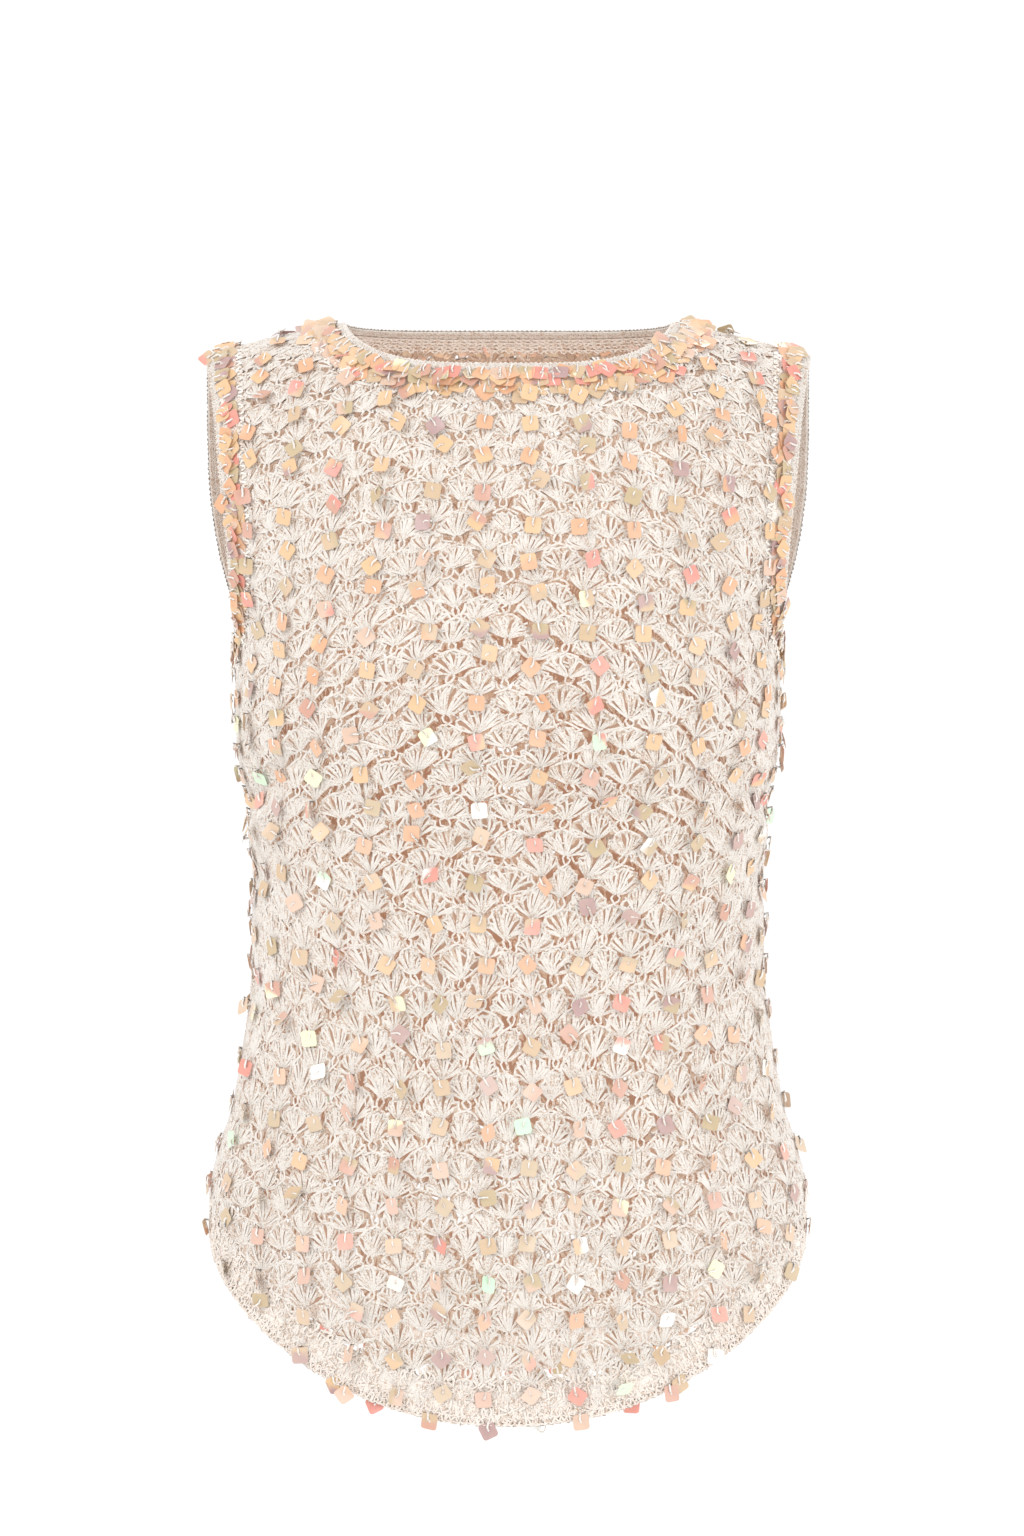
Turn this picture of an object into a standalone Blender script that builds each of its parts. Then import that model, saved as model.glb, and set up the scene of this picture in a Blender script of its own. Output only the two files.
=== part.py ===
"""Sleeveless crochet top with a round neck and a rounded hem, in the hollow form it has when worn.

Metres, +Z up.  The front faces -Y and the wearer's left is +X.  The origin is the middle of the
shoulder line, level with the two points where the shoulders meet the neck.

The cloth is a front and a back, sewn at the shoulders and sides.  Each is a surface with two
coordinates: "across", the distance from its centre line measured round the body, and "path", the
distance down the cloth from the shoulder line.  Every piece is a wall on that surface.
"""

import math
from collections import namedtuple

import bpy
import numpy as np

# Shoulders and neck
SHOULDER_RADIUS = 0.120        # height in which the cloth turns from the ridge to the vertical
SHOULDER_PATH = SHOULDER_RADIUS * math.pi / 2.0
RIDGE_RISE = 0.006             # the shoulder line, carried on to the centre, above the origin
RIDGE_FALL = 0.026             # how far the shoulder line drops from there to its tip
RIDGE_POWER = 2.2
TIP_HALF_WIDTH = 0.181
SLOPE_ENDS = 0.330             # below this drop the level rows no longer follow the shoulder slope
NECK_HALF_WIDTH = 0.097
NECK_DEPTH = {"front": 0.097, "back": 0.042}
NECK_SQUARENESS = {"front": 3.0, "back": 2.5}

# Armholes
ARMHOLE_DROP = 0.176           # depth of the armhole below the shoulder tip
ARMHOLE_ROUND_FROM = 0.092     # its edge turns in to the underarm below this drop
ARMHOLE_SHARE = {"front": 0.50, "back": 0.52}   # depth of its edge, as a share of the body's
ARMHOLE_ROWS = namedtuple("ArmholeRows", "drop front_half_width back_half_width")(
    np.array([0.000, 0.022, 0.045, 0.070, 0.092, 0.116, 0.147, 0.176]),
    np.array([0.181, 0.176, 0.1725, 0.170, 0.1675, 0.165, 0.163, 0.1615]),
    np.array([0.181, 0.182, 0.1825, 0.182, 0.180, 0.176, 0.168, 0.1615]),
)

# Body: a row for each level, the drop below the neck points first
BODY_SQUARENESS = 2.3
Level = namedtuple("Level", "drop half_width front_depth back_depth")
LEVELS = (
    Level(0.000, 0.1615, 0.108, 0.091),
    Level(0.060, 0.1615, 0.108, 0.093),
    Level(0.120, 0.1615, 0.111, 0.095),
    Level(0.176, 0.1615, 0.116, 0.094),
    Level(0.220, 0.1620, 0.119, 0.091),
    Level(0.255, 0.1600, 0.116, 0.087),
    Level(0.285, 0.1540, 0.108, 0.083),
    Level(0.315, 0.1525, 0.101, 0.080),
    Level(0.350, 0.1520, 0.097, 0.079),
    Level(0.405, 0.1540, 0.098, 0.084),
    Level(0.440, 0.1590, 0.102, 0.091),
    Level(0.470, 0.1645, 0.106, 0.098),
    Level(0.496, 0.1730, 0.110, 0.103),
    Level(0.520, 0.1770, 0.112, 0.106),
    Level(0.560, 0.1770, 0.113, 0.107),
    Level(0.660, 0.1770, 0.113, 0.107),
)

# Hem
HEM_SIDE_DROP = 0.543
HEM_CENTRE_FALL = 0.100
HEM_FLATNESS = 2.2             # how long the hem stays low as it leaves the centre
HEM_SIDE_ROUNDING = 1.5        # how softly it meets the side seam

# Soft folds: a row for each, on both halves of its face, a plus depth is a ridge
Fold = namedtuple("Fold", "face across drop length tilt_deg depth width")
FOLDS = (
    Fold("front", 0.150, 0.268, 0.150, 24.0, -0.0042, 0.0120),
    Fold("front", 0.165, 0.296, 0.110, 16.0, 0.0030, 0.0110),
    Fold("front", 0.185, 0.330, 0.090, 8.0, -0.0028, 0.0100),
    Fold("front", 0.190, 0.392, 0.085, -10.0, -0.0026, 0.0110),
    Fold("front", 0.150, 0.480, 0.150, 74.0, -0.0034, 0.0160),
    Fold("front", 0.080, 0.520, 0.170, 84.0, 0.0028, 0.0180),
    Fold("front", 0.125, 0.120, 0.100, 62.0, -0.0026, 0.0120),
    Fold("back", 0.150, 0.262, 0.120, 20.0, -0.0036, 0.0120),
    Fold("back", 0.120, 0.318, 0.130, 8.0, -0.0040, 0.0110),
    Fold("back", 0.090, 0.352, 0.150, 3.0, 0.0032, 0.0110),
    Fold("back", 0.125, 0.384, 0.120, -6.0, -0.0034, 0.0110),
    Fold("back", 0.140, 0.500, 0.140, 78.0, -0.0034, 0.0170),
    Fold("back", 0.060, 0.130, 0.110, 70.0, -0.0024, 0.0140),
)

# Cloth thicknesses and the widths of the trims
SEAM_GAP = 0.0003
ARMHOLE_GAP = 0.0008           # wider, because the flat facets twist round the underarm
LACE_THICK = 0.0022
EDGING_WIDTH = 0.0062
EDGING_THICK = 0.0030
HEM_BORDER_WIDTH = 0.017
HEM_BORDER_THICK = 0.0029
TRIM_THICK = 0.0024
NECK_TRIM_WIDTH = 0.0185
ARMHOLE_TRIM_WIDTH = 0.0150
TRIM_CLEAR = 0.0005            # from an edging to the sequin trim beside it
NECK_TRIM_LIFT = 0.0007        # from the lace to the sequin trim on it
ARMHOLE_TRIM_LIFT = 0.0016
EDGING_INSETS = np.linspace(0.0, EDGING_WIDTH, 3)
TRIM_START = EDGING_WIDTH + TRIM_CLEAR
TRIM_LEVEL = (LACE_THICK + TRIM_THICK) / 2.0
TRIM_LINES = 4                 # points across a trim's width

# Mesh: quads on half a panel, which the trims share along their edges
NECKLINE_COLUMNS = 13
SHOULDER_COLUMNS = 5
HALF_COLUMNS = NECKLINE_COLUMNS + SHOULDER_COLUMNS
SIDE_ROWS = 14
ARMHOLE_STEPS = 18
UNDERARM_CROWDING = 1.35       # above 1 the armhole's points lie closer near the underarm
FINE_STEPS = 12                # points of a line worked out between two that are kept
LINE_STEPS = 360               # points that a formula's line starts from
TABLE_PATH_STEP = 0.002
TABLE_COLUMNS = 140
CREASE_DEG = 40.0              # edges sharper than this aren't shaded smooth

SIGN = {"front": -1.0, "back": 1.0}
Finish = namedtuple("Finish", "colour roughness")
CREAM_YARN = Finish((0.84, 0.77, 0.69, 1.0), 0.85)
PEACH_SEQUINS = Finish((0.90, 0.52, 0.33, 1.0), 0.25)


def smooth(x, knots, values):
    """Cubic through a table's rows that never overshoots: a knot's slope is the harmonic mean of
    the two beside it, or level where they differ in sign."""
    steps = np.diff(knots)
    secants = np.diff(values) / steps
    product = secants[:-1] * secants[1:]
    total = np.where(product > 0.0, secants[:-1] + secants[1:], 1.0)
    inner = np.where(product > 0.0, 2.0 * product / total, 0.0)
    slopes = np.concatenate([secants[:1], inner, secants[-1:]])
    index = np.clip(np.searchsorted(knots, x) - 1, 0, len(steps) - 1)
    t = np.clip((x - knots[index]) / steps[index], 0.0, 1.0)
    rise = values[index + 1] - values[index]
    bend = t * (1.0 - t) * ((1.0 - t) * slopes[index] - t * slopes[index + 1]) * steps[index]
    return values[index] + rise * t * t * (3.0 - 2.0 * t) + bend


def level_column(name, drop):
    """One named column of LEVELS at any drop."""
    knots = np.array([row.drop for row in LEVELS])
    return smooth(drop, knots, np.array([getattr(row, name) for row in LEVELS]))


def drop_of(path):
    """Drop of a row below the shoulder line: a quarter turn over the shoulder, then straight."""
    turn = np.clip(1.0 - path / SHOULDER_PATH, 0.0, 1.0) * math.pi / 2.0
    return SHOULDER_RADIUS * (1.0 - np.sin(turn)) + np.maximum(path - SHOULDER_PATH, 0.0)


def reach_of(path):
    """Share of the body's depth that the cloth has reached: 0 on the shoulder line, then 1."""
    return np.cos(np.clip(1.0 - path / SHOULDER_PATH, 0.0, 1.0) * math.pi / 2.0)


def path_of(drop):
    """Inverse of drop_of."""
    turn = np.arcsin(np.clip(1.0 - drop / SHOULDER_RADIUS, 0.0, 1.0))
    over_shoulder = SHOULDER_PATH * (1.0 - turn * 2.0 / math.pi)
    return np.where(drop < SHOULDER_RADIUS, over_shoulder, SHOULDER_PATH + drop - SHOULDER_RADIUS)


def edge_share(face, drop):
    """Depth of the cloth's outer edge over the body's: constant, then an ellipse to the underarm."""
    turn = np.clip((drop - ARMHOLE_ROUND_FROM) / (ARMHOLE_DROP - ARMHOLE_ROUND_FROM), 0.0, 1.0)
    return ARMHOLE_SHARE[face] * np.sqrt(1.0 - turn * turn)


def edge_half_width(face, drop):
    """Half width of the cloth at its outer edge: the armhole's, then the body's."""
    armhole = smooth(drop, ARMHOLE_ROWS.drop, getattr(ARMHOLE_ROWS, face + "_half_width"))
    return np.where(drop < ARMHOLE_DROP, armhole, level_column("half_width", drop))


def fold_height(face, across, drop):
    """Sum of the soft folds, each a bell across its own line that fades towards both ends."""
    height = np.zeros_like(across * drop)
    for fold in FOLDS:
        if fold.face != face:
            continue
        tilt = math.radians(fold.tilt_deg)
        right, down = across - fold.across, drop - fold.drop
        along = right * math.cos(tilt) + down * math.sin(tilt)
        aside = down * math.cos(tilt) - right * math.sin(tilt)
        fade = np.cos(np.clip(along / fold.length, -0.5, 0.5) * math.pi) ** 2
        height += fold.depth * fade * np.exp(-((aside / fold.width) ** 2))
    return height


class Cloth:
    """The middle of one face's cloth, as a fine table of points and normals."""

    def __init__(self, face):
        self.face = face
        self.paths = np.arange(0.0, path_of(LEVELS[-1].drop), TABLE_PATH_STEP)
        drops = drop_of(self.paths)
        share = edge_share(face, drops)
        squareness = BODY_SQUARENESS
        width = edge_half_width(face, drops) / (1.0 - share ** squareness) ** (1.0 / squareness)
        depth = level_column(face + "_depth", drops) * reach_of(self.paths)
        angle = np.linspace(0.0, math.pi / 2.0, 4 * TABLE_COLUMNS + 1)
        across_shape = np.sin(angle) ** (2.0 / squareness)
        depth_shape = np.cos(angle).clip(0.0) ** (2.0 / squareness)

        columns = np.linspace(0.0, 1.0, TABLE_COLUMNS + 1)
        self.points = np.zeros((len(drops), TABLE_COLUMNS + 1, 3))
        self.girth = np.zeros(len(drops))
        self.edge = np.zeros(len(drops))
        for row, drop in enumerate(drops):
            x, y = width[row] * across_shape, depth[row] * depth_shape
            length = np.concatenate([[0.0], np.cumsum(np.hypot(np.diff(x), np.diff(y)))])
            self.girth[row] = length[-1]
            self.edge[row] = np.interp(-share[row], -depth_shape, length)
            wanted = columns * length[-1]
            self.points[row, :, 0] = np.interp(wanted, length, x)
            self.points[row, :, 1] = SIGN[face] * np.interp(wanted, length, y)
            self.points[row, :, 2] = -drop
        self.points[:, :, 2] += self.ridge(self.points[:, :, 0], drops[:, None])
        self.normals = self.surface_normals()
        fold = fold_height(face, columns * self.girth[:, None], drops[:, None])
        self.points += self.normals * fold[:, :, None]
        self.normals = self.surface_normals()

    @staticmethod
    def ridge(x, drop):
        """Height that the shoulder slope adds, fading out down the body."""
        fade = np.clip((drop - SHOULDER_RADIUS) / (SLOPE_ENDS - SHOULDER_RADIUS), 0.0, 1.0)
        slope = RIDGE_RISE - RIDGE_FALL * (x / TIP_HALF_WIDTH) ** RIDGE_POWER
        return slope * (1.0 - fade * fade * (3.0 - 2.0 * fade))

    def surface_normals(self):
        """Unit normals, out of the body, from the table's own differences."""
        down = np.gradient(self.points, axis=0)
        right = np.gradient(self.points, axis=1)
        right[:, 0, 1:] = 0.0
        normal = np.cross(down, right) * -SIGN[self.face]
        return normal / np.linalg.norm(normal, axis=2, keepdims=True)

    def at(self, across, path):
        """Points and normals at signed distances across, and paths down, by bilinear lookup."""
        row = np.clip(path / TABLE_PATH_STEP, 0.0, len(self.paths) - 1.001)
        low = row.astype(int)
        part = (row - low)[..., None]
        girth = np.interp(path, self.paths, self.girth)
        column = np.clip(np.abs(across) / girth, 0.0, 0.99999) * TABLE_COLUMNS
        left = column.astype(int)
        aside = (column - left)[..., None]

        def mix(table):
            upper = table[low, left] * (1.0 - aside) + table[low, left + 1] * aside
            lower = table[low + 1, left] * (1.0 - aside) + table[low + 1, left + 1] * aside
            value = upper * (1.0 - part) + lower * part
            value[..., 0] *= np.where(across < 0.0, -1.0, 1.0)
            return value

        normal = mix(self.normals)
        return mix(self.points), normal / np.linalg.norm(normal, axis=-1, keepdims=True)

    def half_girth(self, path):
        """Distance from the centre line to the side seam."""
        return np.interp(path, self.paths, self.girth)

    def edge_across(self, path):
        """Distance from the centre line to the armhole's edge."""
        return np.interp(path, self.paths, self.edge)


def resample(line, count, crowding=1.0):
    """A polyline's points again, count + 1 of them, even or crowded towards its end."""
    length = np.concatenate([[0.0], np.cumsum(np.linalg.norm(np.diff(line, axis=0), axis=1))])
    wanted = length[-1] * (1.0 - np.linspace(1.0, 0.0, count + 1) ** crowding)
    return np.stack([np.interp(wanted, length, line[:, k]) for k in range(line.shape[1])], axis=1)


def moved_aside(line, count, inset, first_way, last_way, crowding=1.0):
    """count + 1 points of a flat line, each moved by inset at right angles to it.

    The same points move for every inset, so neighbouring pieces share their corners.  The two
    end points move straight along a seam, in the ways given.
    """
    fine = resample(line, count * FINE_STEPS, crowding)
    step = np.gradient(fine, axis=0)
    way = np.stack([-step[:, 1], step[:, 0]], axis=1)
    way /= np.linalg.norm(way, axis=1, keepdims=True)
    way[0], way[-1] = first_way, last_way
    return (fine + inset * way)[::FINE_STEPS]


def neck_quarter(face, inset):
    """Flat (across, path) line round a quarter of the neck, centre to shoulder, moved outwards."""
    angle = np.linspace(0.0, math.pi / 2.0, 2 * LINE_STEPS + 1)
    power = 2.0 / NECK_SQUARENESS[face]
    across = NECK_HALF_WIDTH * np.sin(angle) ** power
    path = NECK_DEPTH[face] * np.cos(angle).clip(0.0) ** power
    line = np.stack([across, path], axis=1)
    return moved_aside(line, NECKLINE_COLUMNS, inset, (0.0, 1.0), (1.0, 0.0))


def armhole_half(cloth, inset):
    """Flat line down the armhole's edge, shoulder to underarm, moved into the cloth."""
    turn = np.linspace(0.0, math.pi / 2.0, LINE_STEPS + 1)
    round_drop = ARMHOLE_ROUND_FROM + (ARMHOLE_DROP - ARMHOLE_ROUND_FROM) * np.sin(turn)
    straight = np.linspace(0.0, path_of(ARMHOLE_ROUND_FROM), LINE_STEPS, endpoint=False)
    paths = np.concatenate([straight, path_of(round_drop)])
    line = np.stack([cloth.edge_across(paths), paths], axis=1)
    moved = moved_aside(line, ARMHOLE_STEPS, inset, (-1.0, 0.0), (0.0, 1.0), UNDERARM_CROWDING)
    moved[-1, 0] = cloth.half_girth(moved[-1, 1])
    return moved


def hem_half(cloth, inset):
    """Flat line along the hem, centre to side seam, moved up into the cloth."""
    share = np.linspace(0.0, 1.0, LINE_STEPS + 1)
    drop = HEM_SIDE_DROP + HEM_CENTRE_FALL * (1.0 - share ** HEM_FLATNESS) ** HEM_SIDE_ROUNDING
    path = path_of(drop)
    line = np.stack([share * cloth.half_girth(path), path], axis=1)
    moved = moved_aside(line, HALF_COLUMNS, -inset, (0.0, 1.0), (0.0, 1.0))
    moved[-1, 0] = cloth.half_girth(moved[-1, 1])
    return moved


def mirrored(half):
    """A flat line from the centre out, carried over both halves, from -across to +across."""
    other = half[:0:-1] * np.array([-1.0, 1.0])
    return np.concatenate([other, half])


def panel_grid(cloth):
    """Flat grid of a panel: a Coons patch between its centre, hem, side with armhole, and top."""
    half_gap = SEAM_GAP / 2.0
    rows = SIDE_ROWS + ARMHOLE_STEPS
    neckline = neck_quarter(cloth.face, EDGING_WIDTH + SEAM_GAP)
    armhole = armhole_half(cloth, EDGING_WIDTH + ARMHOLE_GAP)
    neckline[-1, 1] = half_gap
    armhole[0, 1] = half_gap
    shoulder = resample(np.stack([neckline[-1], armhole[0]]), SHOULDER_COLUMNS)
    top = np.concatenate([neckline, shoulder[1:]])

    bottom = hem_half(cloth, HEM_BORDER_WIDTH + SEAM_GAP)
    armhole[-1, 0] -= half_gap
    bottom[-1, 0] -= half_gap
    side_paths = np.linspace(bottom[-1, 1], armhole[-1, 1], SIDE_ROWS, endpoint=False)
    side = np.stack([cloth.half_girth(side_paths) - half_gap, side_paths], axis=1)
    right = np.concatenate([side, armhole[::-1]])
    left = np.stack([np.zeros(rows + 1), np.linspace(bottom[0, 1], top[0, 1], rows + 1)], axis=1)

    c = np.linspace(0.0, 1.0, HALF_COLUMNS + 1)[None, :, None]
    t = np.linspace(0.0, 1.0, rows + 1)[:, None, None]
    grid = (1.0 - t) * bottom[None] + t * top[None] + (1.0 - c) * left[:, None] + c * right[:, None]
    corners = (1.0 - c) * (1.0 - t) * bottom[0] + c * (1.0 - t) * bottom[-1]
    corners = corners + (1.0 - c) * t * top[0] + c * t * top[-1]
    half = grid - corners
    other = half[:, :0:-1] * np.array([-1.0, 1.0])
    return np.concatenate([other, half], axis=1)


def principled(name, finish):
    """A material with one Principled shader."""
    material = bpy.data.materials.new(name)
    material.use_nodes = True
    shader = material.node_tree.nodes["Principled BSDF"]
    shader.inputs["Base Color"].default_value = finish.colour
    shader.inputs["Roughness"].default_value = finish.roughness
    shader.inputs["Metallic"].default_value = 0.0
    material.diffuse_color = finish.colour
    return material


def add_wall(name, middle, normals, thickness, finish, ring=False):
    """A closed wall: the middle surface moved half its thickness both ways, with its rims."""
    rows, columns = middle.shape[:2]
    outer = middle + normals * thickness / 2.0
    inner = middle - normals * thickness / 2.0
    points = np.concatenate([outer.reshape(-1, 3), inner.reshape(-1, 3)])
    first = np.arange(rows * columns).reshape(rows, columns)
    if ring:
        first = np.concatenate([first, first[:, :1]], axis=1)
    second = first + rows * columns

    def quads(a, b, c, d):
        return np.stack([a.ravel(), b.ravel(), c.ravel(), d.ravel()], axis=1)

    faces = [
        quads(first[:-1, :-1], first[:-1, 1:], first[1:, 1:], first[1:, :-1]),
        quads(second[:-1, :-1], second[1:, :-1], second[1:, 1:], second[:-1, 1:]),
        quads(first[0, 1:], first[0, :-1], second[0, :-1], second[0, 1:]),
        quads(first[-1, :-1], first[-1, 1:], second[-1, 1:], second[-1, :-1]),
    ]
    if not ring:
        faces.append(quads(first[:-1, 0], first[1:, 0], second[1:, 0], second[:-1, 0]))
        faces.append(quads(first[1:, -1], first[:-1, -1], second[:-1, -1], second[1:, -1]))
    faces = np.concatenate(faces)
    if signed_volume(points, faces) < 0.0:
        faces = faces[:, ::-1]

    mesh = bpy.data.meshes.new(name)
    mesh.from_pydata(points.tolist(), [], faces.tolist())
    mesh.materials.append(principled(name, finish))
    mesh.update()
    mesh.shade_smooth()
    mesh.set_sharp_from_angle(angle=math.radians(CREASE_DEG))
    bpy.context.collection.objects.link(bpy.data.objects.new(name, mesh))


def signed_volume(points, faces):
    """Volume that the faces enclose, less than 0 where they point inwards."""
    a, b, c, d = (points[faces[:, k]] for k in range(4))
    first = np.einsum("ij,ij->i", a, np.cross(b, c))
    return float((first + np.einsum("ij,ij->i", a, np.cross(c, d))).sum() / 6.0)


def make_panel(cloth):
    """Front or back of shell lace."""
    grid = panel_grid(cloth)
    middle, normals = cloth.at(grid[..., 0], grid[..., 1])
    add_wall(cloth.face + "_panel", middle, normals, LACE_THICK, CREAM_YARN)


def make_hem_border(cloth):
    """Dense border along one face's rounded hem, side seam to side seam."""
    lines = []
    for inset in np.linspace(0.0, HEM_BORDER_WIDTH, 3):
        half = hem_half(cloth, inset)
        half[-1, 0] -= SEAM_GAP / 2.0
        lines.append(mirrored(half))
    grid = np.stack(lines)
    middle, normals = cloth.at(grid[..., 0], grid[..., 1])
    add_wall("hem_border_" + cloth.face, middle, normals, HEM_BORDER_THICK, CREAM_YARN)


def ring_of(cloths, front_line, back_line, lift):
    """Points and normals of one closed row: along a line on the front, then back on the back."""
    rows = [("front", front_line[:-1]), ("back", back_line[::-1][:-1])]
    found = [cloths[face].at(line[:, 0], line[:, 1]) for face, line in rows]
    points = np.concatenate([at for at, _ in found])
    normals = np.concatenate([out for _, out in found])
    return points + normals * lift, normals


def neck_ring(cloths, inset, lift):
    """One row round the neck."""
    front, back = (mirrored(neck_quarter(face, inset)) for face in ("front", "back"))
    return ring_of(cloths, front, back, lift)


def armhole_ring(cloths, side, inset, lift):
    """One row round an armhole, on the left for a side of 1 and on the right for -1."""
    front, back = (armhole_half(cloths[face], inset) for face in ("front", "back"))
    mirror = np.array([side, 1.0])
    return ring_of(cloths, front * mirror, back * mirror, lift)


def add_ring(name, rows, thickness, finish):
    """A closed band from rings of points and normals, side by side."""
    middle = np.stack([points for points, _ in rows])
    normals = np.stack([out for _, out in rows])
    add_wall(name, middle, normals, thickness, finish, ring=True)


def make_neck(cloths):
    """Crocheted neck edging, and the band of overlapping sequins outside it."""
    edging = [neck_ring(cloths, inset, 0.0) for inset in EDGING_INSETS]
    add_ring("neck_edging", edging, EDGING_THICK, CREAM_YARN)
    insets = np.linspace(TRIM_START, TRIM_START + NECK_TRIM_WIDTH, TRIM_LINES)
    trim = [neck_ring(cloths, inset, TRIM_LEVEL + NECK_TRIM_LIFT) for inset in insets]
    add_ring("neck_sequin_trim", trim, TRIM_THICK, PEACH_SEQUINS)


def make_armhole(cloths, name, side):
    """Crocheted armhole edging, and the band of overlapping sequins beside it."""
    edging = [armhole_ring(cloths, side, inset, 0.0) for inset in EDGING_INSETS]
    add_ring("armhole_edging_" + name, edging, EDGING_THICK, CREAM_YARN)
    insets = np.linspace(TRIM_START, TRIM_START + ARMHOLE_TRIM_WIDTH, TRIM_LINES)
    level = TRIM_LEVEL + ARMHOLE_TRIM_LIFT
    trim = [armhole_ring(cloths, side, inset, level) for inset in insets]
    add_ring("armhole_sequin_trim_" + name, trim, TRIM_THICK, PEACH_SEQUINS)


def main():
    for old in list(bpy.data.objects):
        bpy.data.objects.remove(old, do_unlink=True)
    cloths = {face: Cloth(face) for face in ("front", "back")}
    for cloth in cloths.values():
        make_panel(cloth)
        make_hem_border(cloth)
    make_neck(cloths)
    for name, side in (("left", 1.0), ("right", -1.0)):
        make_armhole(cloths, name, side)


main()
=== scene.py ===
# %% [markdown]
# # A sleeveless crochet top with hanging sequins
#
# The top is crocheted in a fluffy cream yarn, in rows of fans, and a square sequin hangs from
# every second row of them.  A net like this could be an image on a flat surface, but then it has
# no thickness and no holes.  Here the yarn is really there: every fan is a handful of thin tubes
# laid on the garment's surface, and numpy lays them all at once.

import math
from collections import namedtuple

import bpy
import numpy as np
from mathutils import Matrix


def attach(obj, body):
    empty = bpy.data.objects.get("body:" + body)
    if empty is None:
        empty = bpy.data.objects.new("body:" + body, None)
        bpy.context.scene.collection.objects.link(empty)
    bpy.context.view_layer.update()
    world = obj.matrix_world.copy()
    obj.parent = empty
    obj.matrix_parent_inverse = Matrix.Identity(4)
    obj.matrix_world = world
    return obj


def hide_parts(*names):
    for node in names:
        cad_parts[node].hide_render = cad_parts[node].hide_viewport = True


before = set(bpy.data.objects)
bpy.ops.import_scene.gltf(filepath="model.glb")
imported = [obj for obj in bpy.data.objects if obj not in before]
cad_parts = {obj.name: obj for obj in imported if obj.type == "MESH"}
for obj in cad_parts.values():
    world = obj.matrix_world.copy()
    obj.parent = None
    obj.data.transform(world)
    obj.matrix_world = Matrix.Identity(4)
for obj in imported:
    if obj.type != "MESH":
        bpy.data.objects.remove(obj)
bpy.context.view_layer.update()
MM = 0.001
chance = np.random.default_rng(27)

# %% [markdown]
# ## The garment's surface
#
# Everything lies on two surfaces, one for the front and one for the back.  Each has two
# coordinates: `across`, the distance from the centre line measured round the body, and `path`,
# the distance down the cloth from the shoulder line.  Rings could be modelled by hand instead,
# but with a formula any stitch can ask where it is and which way is out.

# %% Sizes of the body of the garment, in metres
SHOULDER_RADIUS = 0.120
SHOULDER_PATH = SHOULDER_RADIUS * math.pi / 2.0
RIDGE_RISE = 0.006
RIDGE_FALL = 0.026
RIDGE_POWER = 2.2
TIP_HALF_WIDTH = 0.181
SLOPE_ENDS = 0.330
BODY_SQUARENESS = 2.3
Level = namedtuple("Level", "drop half_width front_depth back_depth")
LEVELS = (
    Level(0.000, 0.1615, 0.108, 0.091),
    Level(0.060, 0.1615, 0.108, 0.093),
    Level(0.120, 0.1615, 0.111, 0.095),
    Level(0.176, 0.1615, 0.116, 0.094),
    Level(0.220, 0.1620, 0.119, 0.091),
    Level(0.255, 0.1600, 0.116, 0.087),
    Level(0.285, 0.1540, 0.108, 0.083),
    Level(0.315, 0.1525, 0.101, 0.080),
    Level(0.350, 0.1520, 0.097, 0.079),
    Level(0.405, 0.1540, 0.098, 0.084),
    Level(0.440, 0.1590, 0.102, 0.091),
    Level(0.470, 0.1645, 0.106, 0.098),
    Level(0.496, 0.1730, 0.110, 0.103),
    Level(0.520, 0.1770, 0.112, 0.106),
    Level(0.560, 0.1770, 0.113, 0.107),
    Level(0.660, 0.1770, 0.113, 0.107),
)
print("levels of the body from the shoulder line down:", len(LEVELS))

# %% Neck, armholes and hem
NECK_HALF_WIDTH = 0.097
NECK_DEPTH = {"front": 0.097, "back": 0.042}
NECK_SQUARENESS = {"front": 3.0, "back": 2.5}
ARMHOLE_DROP = 0.176
ARMHOLE_ROUND_FROM = 0.092
ARMHOLE_SHARE = {"front": 0.50, "back": 0.52}
ARMHOLE_DROPS = np.array([0.000, 0.022, 0.045, 0.070, 0.092, 0.116, 0.147, 0.176])
ARMHOLE_HALF_WIDTHS = {
    "front": np.array([0.181, 0.176, 0.1725, 0.170, 0.1675, 0.165, 0.163, 0.1615]),
    "back": np.array([0.181, 0.182, 0.1825, 0.182, 0.180, 0.176, 0.168, 0.1615]),
}
HEM_SIDE_DROP = 0.543
HEM_CENTRE_FALL = 0.100
HEM_FLATNESS = 2.2
HEM_SIDE_ROUNDING = 1.5
EDGING_WIDTH = 0.0062
HEM_BORDER_WIDTH = 0.025
TRIM_START = 0.0067
NECK_TRIM_WIDTH = 0.0185
ARMHOLE_TRIM_WIDTH = 0.0150
print("neck:", round(2.0 * NECK_HALF_WIDTH / MM), "mm wide, and", NECK_DEPTH, "deep")

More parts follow.
